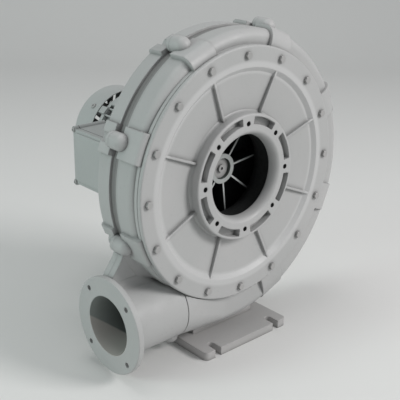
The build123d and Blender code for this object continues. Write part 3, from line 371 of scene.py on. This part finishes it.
# %% One finish
def finish(name, group, colours, roughness, metallic=0.0, bump=0.00015, round_edge=0.0008):
    """Material from a skin group: its colours in order, mean roughness, bump height and edge radius."""
    material = bpy.data.materials.new(name)
    material.use_nodes = True
    tree = material.node_tree
    shader = tree.nodes["Principled BSDF"]
    shader.inputs["Metallic"].default_value = metallic
    coating = effect(tree, group, Roughness=roughness)
    for socket, colour in zip(coating.inputs, colours):
        socket.default_value = (*colour, 1)
    rounding = tree.nodes.new("ShaderNodeBevel")
    rounding.samples = 4
    rounding.inputs["Radius"].default_value = round_edge
    relief = tree.nodes.new("ShaderNodeBump")
    relief.inputs["Strength"].default_value = 0.6
    relief.inputs["Distance"].default_value = bump
    tree.links.new(rounding.outputs["Normal"], relief.inputs["Normal"])
    tree.links.new(coating.outputs["Height"], relief.inputs["Height"])
    tree.links.new(coating.outputs["Colour"], shader.inputs["Base Color"])
    tree.links.new(coating.outputs["Roughness"], shader.inputs["Roughness"])
    tree.links.new(relief.outputs["Normal"], shader.inputs["Normal"])
    return material


# %% Painted finishes
GREY, GREY_SHADE, DIRT_AND_SHADE = (0.43, 0.43, 0.428), (0.405, 0.41, 0.406), (0.07, 0.07, 0.066)

# Slot: name, paint, its shade, roughness, edge radius.
paints = {
    "cast_paint": ("casing_paint", GREY, GREY_SHADE, 0.42, 0.0014),
    "motor_paint": ("motor_paint", (0.41, 0.425, 0.42), (0.385, 0.4, 0.395), 0.45, 0.0008),
    "foot_paint": ("foot_paint", (0.43, 0.42, 0.415), (0.4, 0.395, 0.39), 0.5, 0.0028),
    "zinc_steel": ("painted_screws", (0.38, 0.375, 0.37), (0.33, 0.33, 0.325), 0.38, 0.0003),
}
finishes = {
    slot: finish(name, skin, (paint, shaded, DIRT_AND_SHADE), roughness, round_edge=radius)
    for slot, (name, paint, shaded, roughness, radius) in paints.items()
}
print("painted finishes:", len(finishes))

# %% Bare finishes
# Slot: name, colour, its stain, roughness, metallic, bump height, edge radius.
# The wheel's plates are near black, as painted shade for the unlit inside of the fan.
bare_finishes = {
    "bare_steel": ("ground_steel", (0.42, 0.42, 0.42), (0.3, 0.3, 0.3), 0.3, 1.0, 2e-5, 0.0003),
    "cast_aluminium": ("hub_casting", (0.42, 0.44, 0.43), (0.3, 0.32, 0.31), 0.5, 0.0, 5e-5, 0.0005),
    "wheel_dark": ("wheel_sheet", (0.004, 0.005, 0.005), (0.002, 0.003, 0.003), 0.75, 0.0, 5e-5, 0.0004),
    "core_steel": ("core_sheets", (0.12, 0.12, 0.13), (0.07, 0.07, 0.07), 0.5, 1.0, 1e-4, 0.0002),
    "copper": ("enamelled_wire", (0.5, 0.18, 0.08), (0.3, 0.1, 0.05), 0.35, 0.6, 2e-4, 0.0005),
    "rubber_black": ("seal_rubber", (0.018, 0.018, 0.018), (0.012, 0.012, 0.012), 0.7, 0.0, 5e-5, 0.0004),
    "gasket_grey": ("gasket_sheet", (0.03, 0.03, 0.03), (0.02, 0.02, 0.02), 0.85, 0.0, 5e-5, 0.0001),
    "plastic_black": ("moulded_black", (0.02, 0.02, 0.02), (0.015, 0.015, 0.015), 0.5, 0.0, 5e-5, 0.0005),
    "bakelite": ("terminal_moulding", (0.12, 0.04, 0.02), (0.08, 0.03, 0.015), 0.4, 0.0, 5e-5, 0.0004),
    "brass_parts": ("brass_studs", (0.6, 0.42, 0.16), (0.4, 0.26, 0.1), 0.3, 1.0, 2e-5, 0.0003),
}
for slot, (name, colour, stain, *values) in bare_finishes.items():
    finishes[slot] = finish(name, bare, (colour, stain), *values)
print("finishes:", len(finishes))


# %% [markdown]
# ## Finishes that change with the place
#
# Some surfaces carry painted light and painted shade in different places: bright in front and dark
# behind, or lit near a mouth and shaded deeper inside. An image texture would need unwrapping. A mask that
# reads the coordinates of the piece needs nothing, because the solids stand in their real place: the
# distance from the shaft is the hypotenuse over X and the height above the shaft.


# %% Helpers for masks by place
def parted(tree):
    """The three Object coordinates as sockets."""
    node = tree.nodes.new("ShaderNodeSeparateXYZ")
    tree.links.new(object_place(tree), node.inputs["Vector"])
    return node.outputs["X"], node.outputs["Y"], node.outputs["Z"]


def distance(tree, first, second):
    """Length of the hypotenuse over two coordinates."""
    squares = [maths(tree, "MULTIPLY", side, side) for side in (first, second)]
    return maths(tree, "SQRT", maths(tree, "ADD", *squares), 0.0)


def from_shaft(tree, x, z):
    """Distance from the axis of the shaft."""
    return distance(tree, x, maths(tree, "SUBTRACT", z, SHAFT_HEIGHT))


def over(material, mask, colour):
    """Lays a colour over the finish where the mask is one."""
    tree = material.node_tree
    shader = tree.nodes["Principled BSDF"]
    below = shader.inputs["Base Color"].links[0].from_socket
    tree.links.new(mixed(tree, mask, below, colour), shader.inputs["Base Color"])


# %% [markdown]
# The front edges of the blades carry painted light near the hub, which fades away from the shaft, while
# their sides are painted as dark as the plates of the wheel, as painted shade. The mask reads how far
# forward a point is, and fades away from the shaft.

# %% Blades
PAINTED_BLADE_LIGHT = (0.5, 0.52, 0.51)
blade_shade_and_light = ((0.012, 0.014, 0.014), (0.006, 0.007, 0.007))
blade_finish = finish("blade_shade_and_light", bare, blade_shade_and_light, 0.45, 0.0, 5e-5, 0.0003)
tree = blade_finish.node_tree
x, y, z = parted(tree)
blade_front, dull_from, bright_within = -0.0013, 0.078, 0.04
forward = spread(tree, y, blade_front + 0.0009, blade_front)
near_hub = spread(tree, from_shaft(tree, x, z), dull_from, bright_within, 0.05, 1.0)
# Painted light on the blades' fronts near the hub.
over(blade_finish, both(tree, forward, near_hub), PAINTED_BLADE_LIGHT)
print("own finish:", blade_finish.name)

# %% [markdown]
# The bore's floor near the mouth carries a painted pool of light, and its walls carry painted shade that
# is darker the deeper they lie. The pool of light ends on a line that falls as it runs inwards, so its
# mask reads the height plus a share of the depth. A third mask keeps both inside the bore.

# %% Bore of the outlet pipe
PAINTED_LIT_FLOOR, BORE_SHADE_AT_MOUTH, BORE_SHADE_INSIDE = (0.5, 0.48, 0.45), (0.27, 0.3, 0.285), (0.035, 0.042, 0.039)
mouth, shade_start, shade_full = -0.242, -0.236, -0.15
lit_top, lit_fall, bore_radius = 0.089, 0.8, 0.0502
bore_finish = finish("pipe_paint", skin, (GREY, GREY_SHADE, DIRT_AND_SHADE), 0.55, round_edge=0.0018)
tree = bore_finish.node_tree
x, y, z = parted(tree)
# Painted shade on the walls, darker deeper in, and a painted pool of light on the floor near the mouth.
walls = mixed(tree, spread(tree, x, shade_start, shade_full), BORE_SHADE_AT_MOUTH, BORE_SHADE_INSIDE)
depth_share = maths(tree, "MULTIPLY", maths(tree, "ADD", x, -mouth), lit_fall)
lit_floor = spread(tree, maths(tree, "ADD", z, depth_share), lit_top, lit_top - 0.003)
walls = mixed(tree, lit_floor, walls, PAINTED_LIT_FLOOR)
from_duct = distance(tree, y, maths(tree, "SUBTRACT", z, DUCT_HEIGHT))
over(bore_finish, spread(tree, from_duct, bore_radius + 0.001, bore_radius, 0.0, 0.9), walls)
print("own finish:", bore_finish.name)

# %% [markdown]
# The hub's recess gets painted shade. Its mask is one inside the recess's radius and behind its rim.

# %% Hub
RECESS_SHADE = (0.09, 0.105, 0.095)
hub_paint = ((0.42, 0.44, 0.43), (0.3, 0.32, 0.31))
hub_finish = finish("hub_paint", bare, hub_paint, 0.5, 0.0, 5e-5, 0.0005)
tree = hub_finish.node_tree
x, y, z = parted(tree)
recess_radius, recess_rim = 0.0187, -0.0022
within = spread(tree, from_shaft(tree, x, z), recess_radius + 0.0002, recess_radius)
sunk = spread(tree, y, recess_rim, recess_rim + 0.0012)
# Painted shade in the recess.
over(hub_finish, both(tree, within, sunk), RECESS_SHADE)
print("own finish:", hub_finish.name)

# %% [markdown]
# The cover's field lies a little deeper than its rim, and a sloping shoulder joins them. The shoulder is
# painted a little lighter, as painted light that lifts the shade its slope takes, and this colour also
# covers the painted shade of the corners there. The mask is a ring, a rise at its inner radius times a
# fall at its outer one.

# %% Cover
SHOULDER_PAINTED_LIGHT = (0.5, 0.502, 0.5)
cover_finish = finish("cover_paint", skin, (GREY, GREY_SHADE, DIRT_AND_SHADE), 0.46, round_edge=0.0025)
tree = cover_finish.node_tree
x, _, z = parted(tree)
radius = from_shaft(tree, x, z)
shoulder_inner, shoulder_outer, fade = 0.167, 0.192, 0.005
rise = spread(tree, radius, shoulder_inner, shoulder_inner + fade)
fall = spread(tree, radius, shoulder_outer, shoulder_outer - fade)
shoulder = both(tree, rise, fall)
# Painted light on the shoulder.
over(cover_finish, shoulder, SHOULDER_PAINTED_LIGHT)
print("own finish:", cover_finish.name)

# %% [markdown]
# The two casing halves meet in a broad groove that runs round the rim. Its floor is painted as a darker
# band, painted shade that is darkest at its rear. The band is a range of Y. It is taken out where the
# round bosses of the joint screws cross it, at the lower left, where the duct and its web take the
# groove's place, and on the underside.

# %% Places of the joint screws
joint_back = 0.021
joint_angles = np.array([157.5, 112.5, 67.5, 22.5, -22.5, -67.5, 202.5])
rim_radii = np.array([220.75, 230.75, 242.0, 251.75, 260.75, 268.0, 217.0]) / 1000
joint_places = around_shaft(rim_radii + 0.005, joint_angles, joint_back)
low_drop, low_slope = 0.276, math.tan(math.radians(67.5))
low_joint = np.array([[-low_drop / low_slope, joint_back, SHAFT_HEIGHT - low_drop]])
joint_places = np.concatenate([joint_places, low_joint])
print("joint screws:", len(joint_places))

# %% Groove of the casing joint
groove, _, groove_out = new_group("joint_groove", [], [(NUMBER, "Mask")])
x, y, z = parted(groove)
groove_front, groove_back, boss_radius, fade = 0.0062, 0.0219, 0.0141, 0.0004
web_top, underside = 0.2, 0.045
front_side = spread(groove, y, groove_front, groove_front + fade)
rear_side = spread(groove, y, groove_back, groove_back - fade)
band_mask = both(groove, both(groove, front_side, rear_side), spread(groove, y, 0.006, 0.022, 0.55, 0.85))
flat = groove.nodes.new("ShaderNodeCombineXYZ")
groove.links.new(x, flat.inputs["X"])
groove.links.new(z, flat.inputs["Z"])
for boss_x, _, boss_z in joint_places.tolist():
    gap = groove.nodes.new("ShaderNodeVectorMath")
    gap.operation = "DISTANCE"
    groove.links.new(flat.outputs["Vector"], gap.inputs[0])
    gap.inputs[1].default_value = (boss_x, 0, boss_z)
    outside = spread(groove, gap.outputs["Value"], boss_radius, boss_radius + 0.0003)
    band_mask = both(groove, band_mask, outside)
lower_left = both(groove, spread(groove, x, 0.0, -0.001), spread(groove, z, web_top + 0.001, web_top))
band_mask = both(groove, band_mask, maths(groove, "SUBTRACT", 1.0, lower_left))
band_mask = both(groove, band_mask, spread(groove, z, underside, underside + 0.001))
groove.links.new(band_mask, groove_out["Mask"])

# Painted shade in the groove's floor.
GROOVE_SHADE = (0.125, 0.12, 0.118)
rim_finish = finish("rim_paint", skin, (GREY, GREY_SHADE, DIRT_AND_SHADE), 0.5, round_edge=0.003)
over(rim_finish, effect(rim_finish.node_tree, groove).outputs["Mask"], GROOVE_SHADE)
print("own finish:", rim_finish.name)

# %% [markdown]
# ## Dressing the solid pieces
#
# The pieces arrive as loose flat triangles, which show as facets on round walls. Smooth shading alone
# can't mend that, because loose triangles share no vertices, and on joined ones it would smear light
# round the corners. Their vertices stay as they are, but modifiers may be added: Weld joins the
# triangles, Edge Split parts the mesh where two faces meet at a real edge, and Weighted Normal keeps
# broad flat faces flat next to a round one.

# %% Finish and smooth every piece
slots = {part["node"]: part["material_slot"] for part in frame["record"]["subparts"]}
own = {
    "impeller_blades": blade_finish, "outlet_pipe": bore_finish, "volute_casing": rim_finish,
    "rear_casing": rim_finish, "front_cover": cover_finish, "impeller_hub": hub_finish,
}
for name, piece in nodes.items():
    piece.data.materials.clear()
    piece.data.materials.append(own.get(name, finishes[slots[name]]))
    piece.data.polygons.foreach_set("use_smooth", np.ones(len(piece.data.polygons), bool))
    weld = piece.modifiers.new("weld", "WELD")
    weld.merge_threshold = 1e-6
    split = piece.modifiers.new("split", "EDGE_SPLIT")
    split.split_angle = math.radians(32)
    flatten = piece.modifiers.new("flatten", "WEIGHTED_NORMAL")
    flatten.keep_sharp = True
print("dressed:", len(nodes))


# %% Dressing of a new piece
def dress(piece, body, slot, finish_used=None):
    """Lets a new piece ride on a body and gives it a finish: the one given, or else the one of that slot."""
    piece.data.materials.append(finish_used or finishes[slot])
    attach(piece, body)
    print(piece.name, len(piece.data.polygons), "faces")
    return piece


# %% [markdown]
# ## Screws with real heads
#
# A forged hexagon head is a six-sided prism whose top is turned off by a shallow cone. Where the cone
# cuts the flats it leaves the curved arcs that make a head look real. A boolean cut could make them, but
# both shapes are radii over the same angle, so the head is simply the smaller of the two at each height.
# One grid makes head and shank.


# %% Hexagon-head screws
SCREW_COLUMNS = 96
screw_turn = np.linspace(0, 2 * math.pi, SCREW_COLUMNS, endpoint=False)


def hexagon(flats):
    """Radius of a hexagon at each angle of a screw: half the width across flats over the cosine of the
    angle from the middle of the flat."""
    return flats / 2 / np.cos(screw_turn % (math.pi / 3) - math.pi / 6)


def hex_screw(flats, head, shank, length):
    """Grid of one screw along Z: pole, cone, six flats, underside, shank, pole. The cone leans at 30
    degrees, so its radius grows by the root of 3 for each step down. The underside is at 0."""
    six = hexagon(flats)
    drops = np.linspace(0, 0.28, 7) * head
    cone = [np.minimum(six, 0.475 * flats + drop * math.sqrt(3)) for drop in drops]
    radii = [0, 0.3 * six, *cone, six, 0.5 * (six + shank), shank, shank, 0.8 * shank, 0]
    heights = [head, head, *(head - drops), 0, 0, 0, 0.1 * shank - length, -length, -length]
    return turned(radii, heights, SCREW_COLUMNS)


# %% Places of the hexagon screws
front, back = (0.0, -1.0, 0.0), (0.0, 1.0, 0.0)
cover_places = around_shaft(0.200, 90 + 22.5 * np.arange(16), station=-0.0535)
flange_places = around_shaft(0.0825, 45 + 90.0 * np.arange(4), station=0.0705)
tie_places = around_shaft(0.077, np.array([60.0, 120.0, 240.0, 300.0]), station=0.254)

cover_screw = hex_screw(flats=0.011, head=0.0053, shank=0.004, length=0.016)
casing_screw = hex_screw(flats=0.013, head=0.0053, shank=0.004, length=0.023)
flange_screw = hex_screw(flats=0.017, head=0.0064, shank=0.005, length=0.021)
tie_bolt = hex_screw(flats=0.010, head=0.004, shank=0.003, length=0.174)
screw_sets = {
    "cover_screws": (cover_screw, cover_places, front),
    "casing_screws": (casing_screw, joint_places, back),
    "motor_flange_screws": (flange_screw, flange_places, back),
    "tie_bolts": (tie_bolt, tie_places, back),
}
for name, (grid, places, axis) in screw_sets.items():
    piece = surface("forged_" + name, placed(grid, places, [axis] * len(places)), sharp=25)
    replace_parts(dress(piece, "frame", "zinc_steel"), name)

# %% [markdown]
# The screws of the cowl and of the terminal lid are button heads with a hexagon socket. The socket could
# be cut into a turned dome. Here it is again a row whose radius changes with the angle, so nothing has
# to be cut and the head stays one grid.


# %% Button-head screws
def button_screw(radius, head, socket, shank, length):
    """Grid of one screw along Z: socket floor and wall, dome, underside, shank. The dome is an arc whose
    radius follows the sine and whose height follows the cosine. The underside is at 0."""
    six = hexagon(socket)
    lean = np.linspace(0.35, 1, 8) * math.pi / 2
    rise = 0.25 * head + 0.75 * head * np.cos(lean) / np.cos(lean[0])
    radii = [0, 0.97 * six, six, *(radius * np.sin(lean)), radius, shank, shank, 0]
    heights = [0.35 * head, 0.35 * head, head, *rise, 0, 0, -length, -length]
    return turned(radii, heights, SCREW_COLUMNS)


cowl_angles = 45 + 90.0 * np.arange(4)
cowl_places = around_shaft(0.086, cowl_angles, station=0.283)
cowl_axes = around_shaft(1.0, cowl_angles, station=0.0) - np.array([0, 0, SHAFT_HEIGHT])
lid_x, lid_middle_y, lid_half = -0.1522, 0.1645, 0.048
lid_y = lid_middle_y + lid_half * np.array([-1, -1, 1, 1])
lid_z = SHAFT_HEIGHT + lid_half * np.array([-1, 1, -1, 1])
lid_places = np.stack([np.full(4, lid_x), lid_y, lid_z], axis=1)

cowl_screw = button_screw(radius=0.005, head=0.0025, socket=0.003, shank=0.0025, length=0.0096)
lid_screw = button_screw(radius=0.0042, head=0.003, socket=0.0025, shank=0.0025, length=0.0212)
button_sets = {
    "cowl_screws": (cowl_screw, cowl_places, cowl_axes),
    "lid_screws": (lid_screw, lid_places, [(-1.0, 0.0, 0.0)] * 4),
}
for name, (grid, places, axes) in button_sets.items():
    piece = surface("button_" + name, placed(grid, places, axes), sharp=28)
    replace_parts(dress(piece, "frame", "zinc_steel"), name)

# %% [markdown]
# ## Threads in the inlet ring
#
# The eight holes of the inlet ring are tapped. A thread could be a profile screwed along a helix. It is
# simpler to see it as a wall whose radius is a wave of height minus angle: the ridge then advances by one
# pitch per turn. The insert is a closed sleeve, plain outside and threaded inside.


# %% Thread inserts
def thread_sleeve(outer, inner, ridge, pitch, length, rows_per_turn=8):
    """Grid of a sleeve along Z, its mouth at 0 and its foot at -length. The inner radius is less the
    ridge times a triangle wave of depth over pitch minus the share of a turn, faded at both ends."""
    columns = 48
    around = np.linspace(0, 2 * math.pi, columns, endpoint=False)
    depth = np.linspace(0, -length, int(length / pitch * rows_per_turn))
    wave = np.abs(((depth[:, None] / pitch - around / (2 * math.pi)) % 1.0) * 2 - 1)
    fade = np.clip(np.minimum(-depth, length + depth) / pitch, 0, 1)[:, None]
    wall = inner - ridge * wave * fade
    plain = np.full((1, columns), outer)
    radii = np.concatenate([plain, plain, wall[::-1], plain])
    heights = np.concatenate([[0.0], [-length], depth[::-1], [0.0]])
    return turned(radii, heights, columns)


inlet_holes = around_shaft(0.091, 90 + 45.0 * np.arange(8), station=-0.0600)
# The sleeves are near black: painted shade in the tapped holes.
thread_finish = finish("thread_painted_shade", bare, ((0.02, 0.02, 0.02), (0.01, 0.01, 0.01)), 0.4, 0.6, 2e-5, 0.0001)
sleeve = thread_sleeve(outer=0.00425, inner=0.0040, ridge=0.0006, pitch=0.00125, length=0.0125)
sleeves = surface("thread_inserts", placed(sleeve, inlet_holes, [front] * 8))
dress(sleeves, "frame", "bare_steel", thread_finish)

# %% [markdown]
# ## Coves
#
# A casting never meets a wall in a sharp inner corner: the pattern maker fills it with a cove, a hollow
# quarter round, so that the metal flows and doesn't crack. Here one runs round the foot of the inlet
# ring and one behind the outlet flange. Each is a turned profile of its own, because its edges then need
# no cutting into the solids: its two straight legs hide inside them.


# %% Coves round the ring and behind the flange
def cove(radius, size, sink):
    """Radii and heights of a closed profile: a hollow quarter round of that size outside a wall of that
    radius, standing on the plane at height 0, with its legs sunk into both."""
    lean = np.linspace(0, math.pi / 2, 10)
    arc_radii, arc_heights = radius + size - size * np.cos(lean), size - size * np.sin(lean)
    radii = np.concatenate([[radius - sink], arc_radii, [radius + size, radius - sink]])
    heights = np.concatenate([[size], arc_heights, [-sink, -sink]])
    return np.append(radii, radii[0]), np.append(heights, heights[0])


ring_points = turned(*cove(radius=0.107, size=0.0045, sink=0.001), columns=192)
ring_cove = surface("ring_cove", placed(ring_points, [(0, -0.0407, SHAFT_HEIGHT)], [front]))
dress(ring_cove, "frame", "cast_paint")

pipe_wall, outwards = 0.0575, (1.0, 0.0, 0.0)
pipe_points = turned(*cove(radius=pipe_wall, size=0.004, sink=0.001), columns=128)
pipe_cove = surface("flange_cove", placed(pipe_points, [(-0.232, 0, DUCT_HEIGHT)], [outwards]))
dress(pipe_cove, "frame", "cast_paint")

# %% [markdown]
# The web between the outlet pipe and the rim also runs into both in coves, which are wider here because
# more metal meets. A bevel of the solids could make them, but the solids stay as they are. Each cove is
# a hollow arc that touches the web's front face and the round wall beside it, carried straight along the
# pipe or round the shaft. Its ends close on the corner inside the casting.


# %% Strip along a wall
def strip(first, second, stations):
    """Grids of a closed profile, given as two arrays whose last point is its inner corner, at each of
    the stations. The ends are closed on that corner."""
    pairs = np.stack([first, second], axis=-1)
    corner = np.broadcast_to(pairs[-1], pairs.shape)
    rows = np.stack([corner, *[pairs] * len(stations), corner])
    along = np.concatenate([stations[:1], stations, stations[-1:]])
    return rows[..., 0], rows[..., 1], np.broadcast_to(along[:, None], rows.shape[:2])


web_front, web_inside, web_hollow = 0.002, 0.003, 0.014
arc_middle = web_front - web_hollow

# %% Cove between the web and the pipe
pipe_inside, pipe_stretch = 0.1445, np.array([-0.2325, -0.154])
arc_rise = math.sqrt((pipe_wall + web_hollow) ** 2 - arc_middle ** 2)
lean = np.linspace(0, -math.atan2(arc_rise, -arc_middle), 12)
y = arc_middle + web_hollow * np.cos(lean)
z = DUCT_HEIGHT + arc_rise + web_hollow * np.sin(lean)
y = np.concatenate([[web_inside], y, [y[-1], web_inside]])
z = np.concatenate([[z[0]], z, [z[-1] - 0.001, pipe_inside]])
y, z, x = strip(y, z, pipe_stretch)
web_cove = surface("web_cove", np.stack([x, y, z], axis=-1)[None])
dress(web_cove, "frame", "cast_paint", rim_finish)

# %% Cove between the web and the rim
rim_wall, rim_inside, rim_stretch = 0.217, 0.215, np.linspace(204, 228, 25)
lean = np.linspace(math.pi / 2, math.pi, 12)
radius = rim_wall + web_hollow + web_hollow * np.cos(lean)
y = arc_middle + web_hollow * np.sin(lean)
radius = np.concatenate([radius[:1], radius, [rim_inside] * 2])
y = np.concatenate([[web_inside], y, [y[-1], web_inside]])
radius, y, around = strip(radius, y, np.radians(rim_stretch))
x, z = radius * np.cos(around), SHAFT_HEIGHT + radius * np.sin(around)
flank_cove = surface("flank_cove", np.stack([x, y, z], axis=-1)[None])
dress(flank_cove, "frame", "cast_paint", rim_finish)

# %% [markdown]
# ## Paper, light and world
#
# The paper is pale and matt. Three broad lamps and an even world give soft light. The main lamp stands
# to the right of the camera and above it, and a grid narrows its beam, so that the floor below it
# doesn't turn white. A cooler one stands at the outlet's side but behind the plane of the cover, so it
# lights the rim and leaves the left sides of the ribs and screws dark, which makes them readable. A weak
# one hangs over the rim. The camera sees the world as plain pale grey, and that adds no light.

# %% Paper
paper_finish = bpy.data.materials.new("paper")
paper_finish.use_nodes = True
paper_shader = paper_finish.node_tree.nodes["Principled BSDF"]
paper_shader.inputs["Base Color"].default_value = (0.7, 0.7, 0.69, 1)
paper_shader.inputs["Roughness"].default_value = 0.9
paper_shader.inputs["Specular IOR Level"].default_value = 0.1
backdrop.data.materials.append(paper_finish)
print("paper on:", backdrop.name)

# %% Lamps
lit_point = Vector((0, 0, 0.3))


def lamp(name, where, width, power, colour, grid=180):
    """Square area lamp at a point, turned towards the fan. Its grid narrows the beam to that angle."""
    light = bpy.data.lights.new(name, "AREA")
    light.size = width
    light.energy = power
    light.spread = math.radians(grid)
    light.color = colour
    holder = bpy.data.objects.new(name, light)
    holder.location = where
    holder.rotation_euler = (lit_point - Vector(where)).to_track_quat("-Z", "Y").to_euler()
    bpy.context.scene.collection.objects.link(holder)
    print(name, power, "W")


lamp("main_lamp", (1.5, -2.6, 2.1), width=1.2, power=33, colour=(1.0, 0.985, 0.98), grid=120)
lamp("side_lamp", (-2.9, 1.0, 1.2), width=1.0, power=28, colour=(0.8, 1.0, 0.94))
lamp("top_lamp", (-0.2, 0.4, 3.0), width=1.2, power=15, colour=(1.0, 0.97, 0.97))

# %% World
world = bpy.data.worlds.new("studio")
bpy.context.scene.world = world
world.use_nodes = True
sky_tree = world.node_tree
sky = sky_tree.nodes["Background"]
sky.inputs["Color"].default_value = (0.96, 0.98, 1.0, 1)
sky.inputs["Strength"].default_value = 0.42
seen = sky_tree.nodes.new("ShaderNodeBackground")
seen.inputs["Color"].default_value = (0.5, 0.505, 0.505, 1)
seen.inputs["Strength"].default_value = 1.0
either = sky_tree.nodes.new("ShaderNodeMixShader")
ray = sky_tree.nodes.new("ShaderNodeLightPath")
sky_tree.links.new(ray.outputs["Is Camera Ray"], either.inputs["Fac"])
sky_tree.links.new(sky.outputs["Background"], either.inputs[1])
sky_tree.links.new(seen.outputs["Background"], either.inputs[2])
sky_tree.links.new(either.outputs["Shader"], sky_tree.nodes["World Output"].inputs["Surface"])
bpy.context.scene.view_settings.view_transform = "Standard"
print("world:", world.name)
